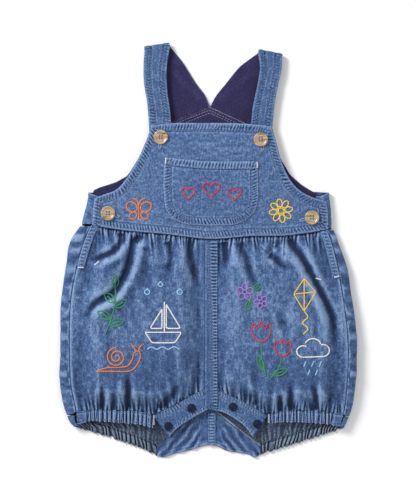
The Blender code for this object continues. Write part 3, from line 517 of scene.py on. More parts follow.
# Back leg hems: casings of denim gathered up on elastic, which stand in small even waves along the
# garment's lowest edge. Their inside shows under the front hems, drawn in the darker denim as painted
# shade, with the troughs of the waves painted darker still as shade.
for side, sign, low in (("left", -1, LEFT_BACK_LOW), ("right", 1, RIGHT_BACK_LOW)):
    columns = sections((0.67, 1, 5), (1, 2, 37), (2, 3, 253))
    s, v = np.meshgrid(columns, np.linspace(0, 1, 21))
    end_x = sign * 54.6
    low_y = hem_edge(side, s, graph(low), 0.0, end_x) + 2.6 * (1 - ease(s - 1))
    high_y = hem_edge(side, s, graph(low), BACK_HEM_WIDTH - 2 * SEAM_GAP, end_x) + 0.6 * (1 - ease(s - 1))
    place = side_section(side, np.maximum(s, 2.0), low_y, 0.0, end_x)[0]
    slant = place + sign * 2.5 * v + 1.5 * lumps(place, v * 9, 7.0, 9.0, 31)
    ripple = 1.0 - 2.2 * gathers(slant, np.zeros(s.shape), -140.0, 142.0, 4.3, 0.85, 9.0, 33)
    ripple = np.clip(ripple, -1.2, 1.0) * ease((s - 1.7) / 0.4)
    low_y = low_y - 1.3 * ripple * ease((v - 0.3) / 0.7)
    y = high_y + (low_y - high_y) * v
    outer_x, outer_z = side_section(side, s, y, 0.0, end_x)
    body = 0.62 + 0.38 * np.sin(math.pi * v)
    stitched = 0.5 * bell(v, 0.14, 0.05) + 0.3 * bell(v, 0.86, 0.05)
    thick = (2.9 + 1.5 * ripple - stitched) * body
    inner_x, inner_z = side_section(side, s, y, np.clip(thick, 0.9, 5.0), end_x)
    # The lower edge is worn pale; the troughs of the waves are painted darker as shade.
    wear_and_shade = wash_and_trough_shade(thick, 3, 0.45) * 1.3 + 0.4 * ease((v - 0.85) / 0.15) - 0.15
    casing = cloth(
        f"back_hem_{side}", np.dstack([inner_x, y, inner_z]), np.dstack([outer_x, y, outer_z]),
        shaded_inside_denim, wear_and_shade, inside=-0.1,
    )
    casing.data.materials.append(denim)
    for face in casing.data.polygons:
        if face.normal.z < -0.2 or abs(face.center.x) > 136 * MM:
            face.material_index = 1

# Back bodice: washed denim on the surface, lined with navy twill. Its ends wrap to the front, where
# the side buttons hold the bib. The lining shows in the neck, with a topstitched edge and a double V.
BODICE_HEIGHT = 9.0
BODICE_MIDDLE = 1.4
BODICE_ROUNDING = 4.4
BODICE_OUTLINE = {
    "left": ((24.0, 133.8), (34.9, 131.6), (47.0, 128.3), (62.0, 125.9)),
    "right": ((24.0, 129.4), (34.9, 129.0), (47.0, 128.2), (62.0, 126.4)),
}
BODICE_TOP = (
    (-124.0, 61.6), (-113.7, 66.3), (-99.6, 70.5), (-86.1, 76.7), (-73.0, 98.0), (-61.4, 125.3),
    (1.4, 149.9), (62.5, 122.3), (75.0, 98.0), (88.0, 76.0), (102.0, 66.0), (120.0, 55.5),
)
navy_twill = woven(
    "navy_twill", dye=(0.024, 0.019, 0.072), faded=(0.055, 0.048, 0.125), dark=(0.009, 0.008, 0.035),
    streaks=0.5, pitch=0.0005, bump=0.3,
)


def bodice_points(s, v, inset, lift):
    """x, y and z of the back bodice, from its waist (v 1) to its upper edge (v 0)."""
    across_s = np.where(s > 3, 6 - s, s)
    points = []
    for side, sign, wrap_end in (("left", -1, 110.0), ("right", 1, 113.0)):
        outline = graph(BODICE_OUTLINE[side])
        radius = BODICE_ROUNDING
        floor_x = sign * (outline(60.0) - radius)
        column_x = np.where(across_s > 2, floor_x + (BODICE_MIDDLE - floor_x) * (across_s - 2), floor_x)
        tab_top = 56.5 + 4.0 * ease(across_s - 0.5)
        top = np.where(across_s > 2, np.interp(column_x, *np.array(BODICE_TOP).T), tab_top)
        low = BACK_WAIST[side] + (BACK_WAIST["centre"] - BACK_WAIST[side]) * np.clip(across_s - 2, 0, 1)
        low = low + SEAM_GAP / 2 + 2.2 * (1 - ease(across_s - 1))
        y = top + (low - top) * v
        turn = sign * (outline(np.clip(y, 24.0, 62.0)) - radius)
        angle = math.pi / 2 - math.pi * np.clip(across_s - 1, 0, 1)
        across = turn + sign * (radius - inset) * np.cos(angle)
        up = BODICE_HEIGHT / 2 + (BODICE_HEIGHT / 2 - inset) * np.sin(angle)
        across = np.where(across_s < 1, sign * wrap_end + (turn - sign * wrap_end) * across_s, across)
        across = np.where(across_s > 2, turn + (BODICE_MIDDLE - turn) * (across_s - 2), across)
        up = np.where(across_s >= 2, inset + lift, up)
        points.append(np.dstack([across, y, up]))
    return np.where((s <= 3)[..., None], points[0], points[1])


half = sections((0, 1, 9), (1, 2, 17), (2, 3, 41))
s, v = np.meshgrid(np.concatenate([half, 6 - half[::-1][1:]]), np.linspace(0, 1, 61))
plan = bodice_points(s, v, 0.0, 0.0)
wrap = ease((2.0 - np.where(s > 3, 6 - s, s)) / 0.3)
ripple = 0.3 * lumps(plan[..., 0], plan[..., 1], 5.0, 6.0, 41) - 0.3 * bell(v, 0.16, 0.03)
ripple = wrap * ripple
outer = bodice_points(s, v, -np.minimum(ripple, 0.25), 0.0)
inner = bodice_points(s, v, SHELL - np.minimum(ripple, 0.25), 0.0)
wear_and_shade = wash_and_trough_shade(ripple, 3) + 0.9 * bell(v, 0.0, 0.03) + 0.1
cloth(
    "back_bodice", outer, inner, denim, wear_and_shade,
)

s, v = np.meshgrid(np.linspace(2, 4, 201), np.linspace(0, 1, 101))
base = bodice_points(s, v, 0.0, 0.0)
x, y = base[..., 0], base[..., 1]


def lining_surface(x, y):
    """The lining's upper face: flat, with a few soft dents and a stitched dip inside its upper edge."""
    below = np.interp(x, *np.array(BODICE_TOP).T) - y
    dip = 0.3 * bell(below, 4.5, 0.8)
    return 2.55 + 0.3 * lumps(x, y, 13.0, 15.0, 42) + 0.16 * lumps(x, y, 5.0, 5.0, 43) - dip


top = lining_surface(x, y)
below = np.interp(x, *np.array(BODICE_TOP).T) - y
wear_and_shade = wash_and_trough_shade(top, 3, 0.3) * 0.6 + 0.7 * bell(below, 0.0, 1.2)
cloth(
    "back_bodice_lining", np.dstack([x, y, top]), np.dstack([x, y, np.full_like(x, 1.45)]), navy_twill,
    wear_and_shade,
)

# Shoulder straps: denim outside and navy twill inside, topstitched twice along each side. Each comes
# up from the back, folds over at the shoulder and runs down the front to its button behind the bib.
LEFT_STRAP = {
    "back": ((-61.4, 126.0, 1.1, 150.5), (-63.0, 150.0, -2.8, 161.3), (-65.5, 176.0, -14.0, 176.5),
             (-67.2, 196.0, -27.4, 198.0), (-67.3, 209.6, -40.2, 213.7)),
    "front": ((-67.3, 209.6, -40.4, 213.7), (-68.2, 190.1, -43.8, 190.1), (-67.3, 172.2, -42.9, 165.0),
              (-64.3, 154.3, -40.2, 147.0), (-62.2, 123.9, -38.7, 123.9), (-61.4, 96.5, -37.3, 96.5)),
}
RIGHT_STRAP = {
    "back": ((1.7, 150.5, 62.5, 123.0), (7.5, 161.3, 66.0, 148.0), (18.0, 174.5, 71.0, 170.0),
             (34.0, 193.8, 75.5, 190.0), (52.0, 206.9, 77.3, 201.9)),
    "front": ((52.0, 206.9, 77.3, 201.9), (53.9, 190.1, 76.4, 188.1), (51.1, 172.2, 73.4, 175.7),
              (46.6, 150.4, 69.6, 154.3), (43.9, 126.0, 66.7, 126.0), (41.5, 96.5, 64.6, 96.5)),
}
# Rows of points in each run of a strap
STRAP_RUNS = (("back", 61), ("fold", 23), ("front", 77))


def strap_ends(strap, which, count):
    """The left and the right edge of one run of a strap, as rows of points."""
    left, right = np.hsplit(np.array(strap[which]), 2)
    middle, half = (left + right) / 2, (right - left) / 2
    gone = distances(middle)
    places = np.linspace(0, 1, count)
    half = np.stack([np.interp(places, gone / gone[-1], half[:, k]) for k in (0, 1)], axis=1)
    middle = run(middle)(places)
    return middle - half, middle + half


def strap_points(strap, radius, narrow, columns):
    """A strap at a distance from the middle of its fold: back run below, fold, front run above."""
    rows = []
    total = sum(count for _, count in STRAP_RUNS)
    for which, count in STRAP_RUNS:
        if which == "fold":
            left, right = (edge[:1] for edge in strap_ends(strap, "front", 5))
            angles = np.linspace(-math.pi / 2, math.pi / 2, count + 2)[1:-1]
            left, right = np.repeat(left, count, axis=0), np.repeat(right, count, axis=0)
        else:
            left, right = strap_ends(strap, which, count)
            angles = np.full(count, -math.pi / 2 if which == "back" else math.pi / 2)
        width = np.linalg.norm(right - left, axis=1, keepdims=True)
        over = (right - left) / width
        left, right = left + narrow * over, right - narrow * over
        outward = np.stack([-over[:, 1], over[:, 0]], axis=1)
        q = columns[None, :, None]
        flat = left[:, None] + (right - left)[:, None] * q
        reach = np.broadcast_to(radius, (total, len(columns)))[len(rows) : len(rows) + count]
        flat = flat + outward[:, None] * (reach * np.cos(angles)[:, None])[..., None]
        up = BODICE_HEIGHT / 2 + reach * np.sin(angles)[:, None]
        rows.extend(np.dstack([flat, up]))
    return np.array(rows)


columns = np.linspace(0, 1, 41)
for side, strap in (("left", LEFT_STRAP), ("right", RIGHT_STRAP)):
    outer_radius = BODICE_HEIGHT / 2
    base = strap_points(strap, outer_radius, 0.0, columns)
    width = np.linalg.norm(base[:, -1, :2] - base[:, 0, :2], axis=1)[:, None]
    edge = np.minimum(columns, 1 - columns)[None, :] * width
    along = distances(base[:, len(columns) // 2])[:, None]
    rope = np.sin(math.tau * (along / 3.2 + 0.1 * edge + 0.5 * lumps(along, edge, 8.0, 9.0, 51)))
    band = ease(edge / 1.0) * ease((7.4 - edge) / 1.5)
    rope = rope * (0.7 + 0.7 * lumps(along, edge, 5.0, 9.0, 54))
    relief = band * (0.08 + 0.28 * rope) - 0.3 * bell(edge, 1.9, 0.5)
    relief = relief - 0.5 * bell(edge, 7.2, 0.8) - 0.6 * bell(edge, 0.0, 0.7)
    relief = relief + 0.2 * lumps(along, edge, 8.0, 7.0, 52)
    lower = ease((1.5 - base[..., 2]) / 0.5)
    relief_there = np.where(lower > 0, np.minimum(relief, 0.0), relief)
    outer = strap_points(strap, outer_radius + relief_there, 0.0, columns)
    inner = strap_points(strap, outer_radius - 1.15, 0.0, columns)
    turned_edge = ease((BODICE_HEIGHT / 2 - base[..., 2]) / 2) * ease((1.0 - edge) / 0.6)
    inner[..., 2] = inner[..., 2] + 1.3 * turned_edge
    wear_and_shade = 1.2 * wash_and_trough_shade(relief, 3) + 0.8 * bell(edge, 0.0, 0.9) - 0.1 - 0.3 * ease((8.4 - edge) / 2.0)
    cloth(
        f"strap_{side}", outer, inner, denim, wear_and_shade,
        ratio=2,
    )
    lining_radius = outer_radius - 1.5
    grids = [strap_points(strap, radius, 1.0, columns) for radius in (lining_radius - 0.95, lining_radius)]
    wear_and_shade = 0.4 * lumps(along, edge, 9.0, 7.0, 53) + 0.5 * bell(edge, 0.0, 1.0)
    cloth(
        f"strap_{side}_lining", grids[0], grids[1], navy_twill, wear_and_shade,
        ratio=2,
    )

# Front legs: two panels of washed denim, gathered into the bib's waist seam above and into the leg
# elastic below, so that they puff out between. Long soft folds run down from the waist.
WAIST = (
    (-122.7, 26.2), (-110.8, 23.6), (-80.6, 19.5), (-45.5, 16.4), (0.0, 11.2),
    (44.8, 14.2), (82.3, 15.0), (114.6, 19.3), (126.0, 21.5),
)
CENTRE_HEIGHT = ((12.0, 11.0), (-40.0, 12.5), (-100.0, 12.5), (-144.0, 11.2), (-200.0, 10.0))
LEFT_HEM_TOP = ((-138.2, -169.1), (-113.9, -167.5), (-87.7, -168.5), (-70.9, -169.6), (-59.3, -172.2))
RIGHT_HEM_TOP = ((62.5, -172.2), (78.2, -169.1), (96.1, -168.5), (115.0, -169.6), (141.2, -171.6))
LEFT_CROTCH_TOP = ((-59.3, -172.2), (-45.7, -167.0), (-29.9, -159.6), (-17.3, -152.2), (0.0, -143.8))
RIGHT_CROTCH_TOP = ((0.0, -143.8), (17.3, -150.3), (33.1, -157.5), (45.0, -163.8), (62.5, -172.2))
LEG_CROWN = 8.5
BELLY_Y = -70.0
SIDE_STRIP_WIDTH = 8.0
# The folds: depth, half width, height of the ridge beside it (its sign gives the side), and the run
FOLDS = (
    (6.0, 4.6, 0.5, ((-68.8, 17.0), (-78.5, 8.4), (-81.1, -3.8), (-84.6, -17.9), (-91.7, -32.6),
                     (-99.6, -44.1), (-115.7, -54.0), (-123.8, -62.0), (-127.8, -76.0), (-130.0, -92.0))),
    (3.5, 5.0, 0.4, ((-41.5, 10.0), (-39.4, -4.2), (-41.5, -17.9), (-45.7, -36.0))),
    (3.5, 4.2, -0.4, ((-18.4, 12.6), (-17.9, -4.2), (-15.3, -23.1), (-12.3, -46.0))),
    (4.5, 4.0, 0.5, ((-90.8, 19.0), (-91.9, 9.5), (-99.6, -0.7), (-113.7, -7.8), (-127.0, -14.0))),
    (3.5, 4.6, 0.4, ((16.0, 9.0), (17.5, -7.4), (15.0, -24.0))),
    (4.0, 4.8, -0.4, ((34.1, 9.0), (40.4, -11.6), (47.0, -31.5), (55.4, -50.0))),
    (3.0, 4.2, 0.4, ((64.0, -4.0), (74.0, -13.0), (84.4, -24.0))),
    (6.0, 4.6, -0.5, ((83.5, 14.0), (92.9, 0.0), (101.6, -12.6), (107.0, -22.5), (115.6, -39.9),
                      (123.1, -54.6), (129.5, -70.4), (132.0, -92.4), (133.0, -120.0))),
    (2.5, 5.4, 0.5, ((71.6, -55.0), (76.0, -73.0), (81.3, -92.0))),
    (4.0, 3.4, 0.4, ((-111.8, -138.0), (-111.4, -155.0), (-111.8, -171.0))),
    (5.0, 3.8, -0.4, ((-86.6, -124.0), (-84.0, -148.0), (-85.5, -171.0))),
    (3.5, 5.0, 0.5, ((-22.0, -126.0), (-38.0, -151.0), (-52.0, -168.0))),
    (4.0, 4.6, 0.4, ((87.6, -130.0), (86.0, -150.0), (88.0, -170.0))),
    (3.5, 3.4, -0.4, ((76.1, -148.0), (75.0, -158.0), (76.1, -170.0))),
    (3.5, 3.8, 0.4, ((106.6, -134.0), (111.4, -152.0), (112.4, -169.0))),
    (2.5, 5.6, -0.4, ((24.0, -120.0), (36.0, -144.0), (50.0, -164.0))),
)

waist_y = graph(WAIST)
centre_z = graph(CENTRE_HEIGHT)
left_bottom_y = graph(LEFT_HEM_TOP + LEFT_CROTCH_TOP[1:])
right_bottom_y = graph(RIGHT_CROTCH_TOP[:-1] + RIGHT_HEM_TOP)


def folds(x, y, table):
    """Troughs and the soft ridges beside them, as a change of height."""
    change = np.zeros(x.shape)
    for depth, width, ridge, points in table:
        line = run(points)(np.linspace(0, 1, 4 * len(points)))
        away, along, side = near(x, y, line)
        share = along / distances(line)[-1]
        from_waist = points[0][1] > -10.0
        into_hem = points[-1][1] < -160.0
        fade = ease(share / 0.12 + 0.4) if from_waist else ease(share / 0.6)
        fade = fade * (ease((1 - share) / 0.12 + 0.4) if into_hem else ease((1 - share) / 0.5))
        beside = (side * np.sign(ridge) * away - 2.0 * width) / (1.1 * width)
        change = change - fade * depth * bell(away, 0.0, width)
        change = change + fade * depth * abs(ridge) * np.exp(-(beside**2))
    return change


def front_base(x, y):
    """The front legs' height without crown, folds or pleats: from the side seam to the centre seam."""
    left, right = SIDES["left"], SIDES["right"]
    from_side = np.where(x < 0, x - left["seam"](y), right["seam"](y) - x)
    side_z = np.where(x < 0, left["height"](y), right["height"](y))
    share = ease(np.clip(from_side, 0, None) / (np.clip(from_side, 0, None) + np.abs(x) + 1e-6))
    return side_z * (1 - share) + centre_z(y) * share, from_side


def leg_surface(x, y):
    """The front legs' upper face."""
    base, from_side = front_base(x, y)
    from_waist = waist_y(x) - y
    from_bottom = y - np.where(x < 0, left_bottom_y(x), right_bottom_y(x))
    puff = ease((np.abs(x) - 6.0) / 26.0) * ease((from_side - 9.0) / 22.0)
    puff = puff * ease(from_waist / 30.0) * ease(from_bottom / 22.0)
    edge = ease((np.abs(x) - 6.5) / 5.0) * ease((from_side - 1.0) / 6.0)
    opening = ease((from_side - 9.0) / 4.0) + ease((-25.0 - y) / 8.0)
    pleat = gathers(x, from_waist, -119.0, 119.0, 3.7, 2.5, 9.0, 61)
    pleat = np.maximum(pleat, 0.8 * gathers(x, from_waist, -116.0, 117.0, 11.0, 2.2, 26.0, 62))
    gather = gathers(x, from_bottom, -136.0, 139.0, 4.1, 2.3, 7.5, 63)
    gather = np.maximum(gather, 0.8 * gathers(x, from_bottom, -134.0, 134.0, 10.0, 2.2, 18.0, 64))
    main = folds(x, y, FOLDS) * ease((from_waist + 8.0) / 14.0) * ease((from_bottom + 6.0) / 12.0)
    hang = 0.8 * lumps(x + 0.15 * y, y, 10.0, 34.0, 65) + 0.45 * lumps(x, y, 8.0, 11.0, 66)
    hang = (hang + 0.2 * lumps(x, y, 3.6, 4.5, 67)) * ease(from_waist / 12.0 + 0.3)
    seam_dip = 0.7 * bell(from_side, 0.0, 1.1)
    under_bib = 0.7 * ease((3.0 - from_waist) / 3.0)
    loose = np.clip(opening, 0, 1)
    return base + LEG_CROWN * puff + edge * (loose * (main - pleat) - gather + hang) - seam_dip - under_bib


def level(height, start, end, shift):
    """The line y = height(x) from one x to another, moved by a shift."""

    def at(u):
        x = start + (end - start) * np.asarray(u, float)
        return np.stack([x, height(x) + shift], axis=-1)

    return at


def line_down(across, top, low, shift):
    """The line x = across(y) from one y down to another, moved by a shift."""

    def at(v):
        y = top + (low - top) * np.asarray(v, float)
        return np.stack([across(y) + shift, y], axis=-1)

    return at


for side, sign, hem, bottom_y in (
    ("left", -1, LEFT_HEM_TOP, left_bottom_y), ("right", 1, RIGHT_HEM_TOP, right_bottom_y),
):
    seam = SIDES[side]["seam"]
    half = SEAM_GAP / 2
    waist_end = float(seam(waist_y(sign * 122.0)) - sign * SEAM_GAP)
    hem_end = hem[0] if sign < 0 else hem[-1]
    edge = line_down(seam, float(waist_y(waist_end)) - half, hem_end[1] + half, -sign * SEAM_GAP)
    centre_top, centre_low = float(waist_y(0.0)) - half, LEFT_CROTCH_TOP[-1][1] + half
    centre = line_down(np.zeros_like, centre_top, centre_low, sign * half)
    waist_ends = sorted((waist_end, sign * half))
    low_ends = sorted((float(edge(1.0)[0]), sign * half))
    left_line, right_line = (edge, centre) if sign < 0 else (centre, edge)
    top_line, low_line = level(waist_y, *waist_ends, -half), level(bottom_y, *low_ends, half)
    u, v = grid(201, 201)
    # Rows of points are closer together in the gathers at the waist and the hem.
    v = v - 0.07 * np.sin(math.tau * v) / math.tau * 2
    plan = patch(left_line, right_line, top_line, low_line)(u, v)
    top = leg_surface(plan[..., 0], plan[..., 1])
    from_side = front_base(plan[..., 0], plan[..., 1])[1]
    belly = bell(plan[..., 1], BELLY_Y, 55.0)
    # Ridges and the broad swell are paled by the stonewash; the troughs of folds and pleats are darkened
    # partly by the stonewash and partly as painted shade.
    wear_and_shade = 1.35 * wash_and_trough_shade(top, 3, 0.42) + 0.22 * wash_and_trough_shade(top, 12, 1.6) + 0.45 * belly
    wear_and_shade = wear_and_shade - 0.34 + 0.8 * bell(from_side, 0.9, 0.7)
    cloth(
        f"front_leg_{side}", np.dstack([plan, top]), np.dstack([plan, top - SHELL]), denim, wear_and_shade,
    )

# Centre-front seam: a felled strip of denim over the join of the two legs, sewn down with two close
# rows of stitching at its left. The rest of the strip puckers in small rungs.
def seam_rows(y):
    """x of the stitching rows, which drift to the right down the seam."""
    return -0.5 + 3.1 * ease((4.0 - y) / 110.0)


def centre_seam_surface(x, y):
    """The seam's upper face: raised and puckered beside its two stitched grooves."""
    rise = 0.35 * ease((x - seam_rows(y) - 1.0) / 1.5) * ease((11.0 - x) / 2.0)
    rung = np.sin(math.tau * (y + 0.9 * lumps(x, y, 6.0, 9.0, 71)) / 3.4)
    rung = 0.28 * rung * ease((x - seam_rows(y) - 1.5) / 2.0) * ease((10.0 - x) / 2.0)
    grooves = sum(0.35 * bell(x - seam_rows(y), k, 0.6) for k in (0.0, 2.1))
    crease = 0.8 * lumps(x, y, 30.0, 15.0, 72)
    return np.maximum(front_base(x, y)[0], centre_z(y)) + 1.5 + rise + rung - grooves + 0.4 * crease


top_y, low_y = float(waist_y(0.0)) - 1.0, LEFT_CROTCH_TOP[-1][1] - 22.0
u, v = grid(33, 281)
down = top_y + (low_y - top_y) * v
across = -4.0 + 14.0 * u
top = centre_seam_surface(across, down) - 0.9 * bell(u, 0.0, 0.05) - 0.9 * bell(u, 1.0, 0.05)
wear_and_shade = 1.3 * wash_and_trough_shade(top, 3) - 0.3
cloth(
    "centre_front_seam", np.dstack([across, down, top]), np.dstack([across, down, top - SHELL]), denim,
    wear_and_shade,
)

# Side plackets: the faced front edges of the two hip openings, turned back over the legs and closed
# at the lower end with bar tacks.
def placket_surface(x, y):
    """A side placket's upper face: flat, with two stitched grooves and small rungs between."""
    base, from_side = front_base(x, y)
    away = from_side - SEAM_GAP
    body = 0.3 * ease(away / 1.2) * ease((SIDE_STRIP_WIDTH - away) / 1.2)
    groove = 0.35 * bell(away, 1.9, 0.5) + 0.35 * bell(away, 6.4, 0.5)
    rung = 0.2 * np.sin(math.tau * (y + 0.6 * lumps(x, y, 5.0, 6.0, 75)) / 3.6)
    rung = rung * ease(away / 2) * ease((7 - away) / 2)
    return base + 1.5 + body - groove + rung + 0.5 * lumps(x, y, 20.0, 13.0, 76)


for side, sign, low in (("left", -1, -16.8), ("right", 1, -28.5)):
    seam = SIDES[side]["seam"]
    u, v = grid(25, 61)
    top = waist_y(seam(20.0) - sign * SIDE_STRIP_WIDTH * u) - 2 * SEAM_GAP
    y = top + (low - top) * v
    x = seam(y) - sign * (SEAM_GAP + SIDE_STRIP_WIDTH * u)
    top = placket_surface(x, y)
    wear_and_shade = wash_and_trough_shade(top, 3) + 0.9 * bell(u, 0.0, 0.12) + 0.1
    cloth(
        f"side_placket_{side}", np.dstack([x, y, top]), np.dstack([x, y, top - SHELL]), denim, wear_and_shade,
    )

# Front leg hems: elastic casings whose gathers stand in ridges and valleys, the ridges worn pale and the
# valleys darkened as painted shade, flat next to the side seams and bar-tacked at their inner ends.
LEFT_HEM_LOW = (
    (-137.4, -182.4), (-125.1, -179.7), (-113.3, -179.7),
    (-86.7, -181.9), (-70.8, -183.4), (-58.0, -187.0),
)
RIGHT_HEM_LOW = ((64.0, -182.0), (78.5, -180.7), (96.6, -180.7), (114.8, -181.9), (138.2, -184.2))
HEM_LENGTH = 79.0
# The two rows of stitches along each casing, for the topstitching
hem_rows = []
for side, top, low, bottom_y, shift, flat_end, seed in (
    ("left", LEFT_HEM_TOP, LEFT_HEM_LOW, left_bottom_y, -SEAM_GAP, 0.0, 81),
    ("right", RIGHT_HEM_TOP, RIGHT_HEM_LOW, right_bottom_y, SEAM_GAP, 1.0, 82),
):
    top_line = level(bottom_y, top[0][0] + shift, top[-1][0] + shift, -SEAM_GAP / 2)
    low_line = run(low)
    u, v = grid(221, 29)
    plan = between(top_line, low_line, u, v)
    x, y = plan[..., 0], plan[..., 1]
    along = np.abs(u - flat_end) * HEM_LENGTH
    valley = gathers(x, np.zeros(x.shape), -136.0, 139.0, 4.1, 2.5, 14.0, 63)
    valley = np.maximum(valley, gathers(x + 2.0 * v, 3.0 + 0.0 * x, -134.0, 139.0, 5.2, 1.6, 14.0, seed))
    valley = valley * ease((along - 8.0) / 3.0) * (1.1 + 0.35 * lumps(x, 9.0 * v, 5.0, 6.0, seed + 3))
    stitched = 0.5 * bell(v, 0.12, 0.05) + 0.45 * bell(v, 0.86, 0.05)
    roll = 1.0 * np.sin(math.pi * v) ** 0.7
    top_z = front_base(x, y)[0] + roll - valley - 0.5 * v - stitched
    plan[..., 1] -= 0.7 * ease((v - 0.7) / 0.3) * (1.0 - valley)
    under_z = np.minimum(top_z - 0.8, front_base(x, y)[0] - 2.4)
    # The valleys of the gathers are painted dark as shade; the lower edge is worn pale.
    wear_and_shade = wash_and_trough_shade(top_z, 3, 0.4) * 1.8 + 0.5 * ease((v - 0.85) / 0.15) - 0.15
    outer = np.dstack([plan, top_z + 0.12])
    hem_rows += [outer[4, 8:], outer[24, 8:]]
    cloth(
        f"front_hem_{side}", np.dstack([plan, top_z]), np.dstack([plan, under_z]), denim, wear_and_shade,
    )

# Front crotch placket: a shaped facing in two halves, topstitched along both edges, which carries
# the four snaps that close the legs over the back's panel.
LEFT_CROTCH_LOW = ((-41.0, -196.3), (-34.5, -189.0), (-19.2, -177.7), (-8.5, -171.8), (0.0, -167.0))
RIGHT_CROTCH_LOW = ((0.0, -167.0), (15.6, -170.7), (26.4, -176.6), (37.1, -184.6), (46.5, -196.5))
places = np.linspace(0, 1, 30)
crotch_top_edge = np.concatenate([run(line)(places) for line in (LEFT_CROTCH_TOP, RIGHT_CROTCH_TOP)])
crotch_low_edge = np.concatenate([run(line)(places) for line in (LEFT_CROTCH_LOW, RIGHT_CROTCH_LOW)])


def crotch_surface(x, y):
    """The placket's upper face, roped along its two edges and stitched in three grooves."""
    base = centre_z(y) - 0.2 - 3.0 * ease((np.abs(x) - 30.0) / 30.0)
    above, along, _ = near(x, y, crotch_top_edge)
    below = near(x, y, crotch_low_edge)[0]
    band = ease(above / 1.0) * ease((6.5 - above) / 1.5) + ease(below / 1.0) * ease((5.5 - below) / 1.5)
    rope = np.sin(math.tau * (along / 3.1 + 0.6 * lumps(x, y, 7.0, 7.0, 85)))
    grooves = 0.35 * (bell(above, 1.4, 0.5) + bell(above, 6.4, 0.5) + bell(below, 2.0, 0.5))
    rope = rope * (0.7 + 0.7 * lumps(x, y, 5.0, 5.0, 87))
    relief = band * (0.1 + 0.25 * rope) - grooves - 0.7 * bell(below, 0.0, 0.8)
    return base + relief + 0.3 * lumps(x, y, 9.0, 6.0, 86)


for side, top, low, bottom_y, shift in (
    ("left", LEFT_CROTCH_TOP, LEFT_CROTCH_LOW, left_bottom_y, -SEAM_GAP / 2),
    ("right", RIGHT_CROTCH_TOP, RIGHT_CROTCH_LOW, right_bottom_y, SEAM_GAP / 2),
):
    top_line = level(bottom_y, top[0][0] + shift, top[-1][0] + shift, -SEAM_GAP / 2)
    low_line = run(np.array(low) + np.array((shift, 0.0)))
    plan = between(top_line, low_line, *grid(101, 41))
    top_z = crotch_surface(plan[..., 0], plan[..., 1])
    below = near(plan[..., 0], plan[..., 1], crotch_low_edge)[0]
    wear_and_shade = wash_and_trough_shade(top_z, 3) + 0.9 * bell(below, 0.0, 1.0)
    cloth(
        f"front_crotch_placket_{side}", np.dstack([plan, top_z]), np.dstack([plan, top_z - 1.5]), denim,
        wear_and_shade,
    )

# Bib: one shaped panel of washed denim with a faced edge. The wash has left the edge pale and the
# band between the two stitching rows roped. Its two lower corners are the tabs for the side buttons.
BIB_TOP = ((-60.4, 131.0), (-38.7, 133.2), (-8.9, 133.4), (41.3, 132.4), (66.2, 130.0))
BIB_LEFT = (
    (-60.4, 131.0), (-62.4, 123.0), (-74.3, 94.9), (-86.1, 75.2),
    (-96.0, 63.9), (-110.9, 57.9), (-119.9, 54.6),
)
BIB_RIGHT = (
    (66.2, 130.0), (70.5, 114.8), (79.5, 85.7), (86.5, 72.6),
    (96.5, 62.1), (106.6, 56.5), (123.9, 50.9),
)
BIB_CORNER = 0.78
BIB_HEIGHT = 11.5
bib_low = level(waist_y, -122.4, 125.8, SEAM_GAP / 2)
left_tab = run((BIB_LEFT[-1], (-121.3, 41.5), tuple(bib_low(0.0))))
right_tab = run((BIB_RIGHT[-1], (125.7, 37.4), tuple(bib_low(1.0))))
bib_left_line = joined(run(BIB_LEFT), left_tab, BIB_CORNER)
bib_right_line = joined(run(BIB_RIGHT), right_tab, BIB_CORNER)
places = np.linspace(0, 1, 81)
bib_edge = np.concatenate(
    [bib_left_line(places[::-1]), run(BIB_TOP)(places[1:]), bib_right_line(places[1:])]
)
bib_waist_edge = bib_low(places)


def roped(away, along, first, second, seed):
    """The relief of a washed, stitched edge: rolled rim, two grooves and slanting puckers between."""
    band = ease((away - first + 1.0) / 1.4) * ease((second + 0.6 - away) / 1.6)
    rope = np.sin(math.tau * (along / 3.3 + 0.11 * away + 0.5 * lumps(along, away, 10.0, 12.0, seed)))
    rope = rope * (0.75 + 0.55 * lumps(along, away, 5.0, 9.0, seed + 50))
    relief = band * (0.05 + 0.28 * rope) - 0.45 * bell(away - second, 0.3, 0.8)
    return relief - 0.28 * bell(away, first, 0.45) - 0.9 * bell(away, 0.0, 0.7)


def bib_surface(x, y):
    """The bib's upper face: flat over the straps and tabs, with a soft swell over the pocket."""
    swell = np.exp(-((x / 70.0) ** 2) - (((y - 55.0) / 55.0) ** 2))
    away, along, _ = near(x, y, bib_edge)
    low_away, low_along, _ = near(x, y, bib_waist_edge)
    relief = roped(away, along, 1.7, 8.0, 91) + roped(low_away, low_along, 2.1, 7.4, 92)
    creases = 0.45 * lumps(x, y, 17.0, 13.0, 93) + 0.2 * lumps(x, y, 7.0, 5.0, 94)
    creases = creases + 0.1 * lumps(x, y, 3.0, 2.6, 95)
    return BIB_HEIGHT + 1.6 * swell + relief + creases * ease(away / 5.0) * ease(low_away / 3.0)


u, v = np.meshgrid(np.linspace(0, 1, 321), sections((0, BIB_CORNER, 121), (BIB_CORNER, 1, 49)))
plan = patch(bib_left_line, bib_right_line, run(BIB_TOP), bib_low)(u, v)
top = bib_surface(plan[..., 0], plan[..., 1])
away = near(plan[..., 0], plan[..., 1], bib_edge)[0]
low_away = near(plan[..., 0], plan[..., 1], bib_waist_edge)[0]
wear_and_shade = wash_and_trough_shade(top, 3, 0.28) + 0.9 * bell(away, 0.0, 1.1) + 0.5 * bell(low_away, 0.0, 1.2)
wear_and_shade = wear_and_shade - 0.3 * ease((9.0 - away) / 2.0) - 0.2 * ease((8.5 - low_away) / 2.0) + 0.1
cloth(
    "bib_front", np.dstack([plan, top]), np.dstack([plan, top - 1.3]), denim, wear_and_shade,
)

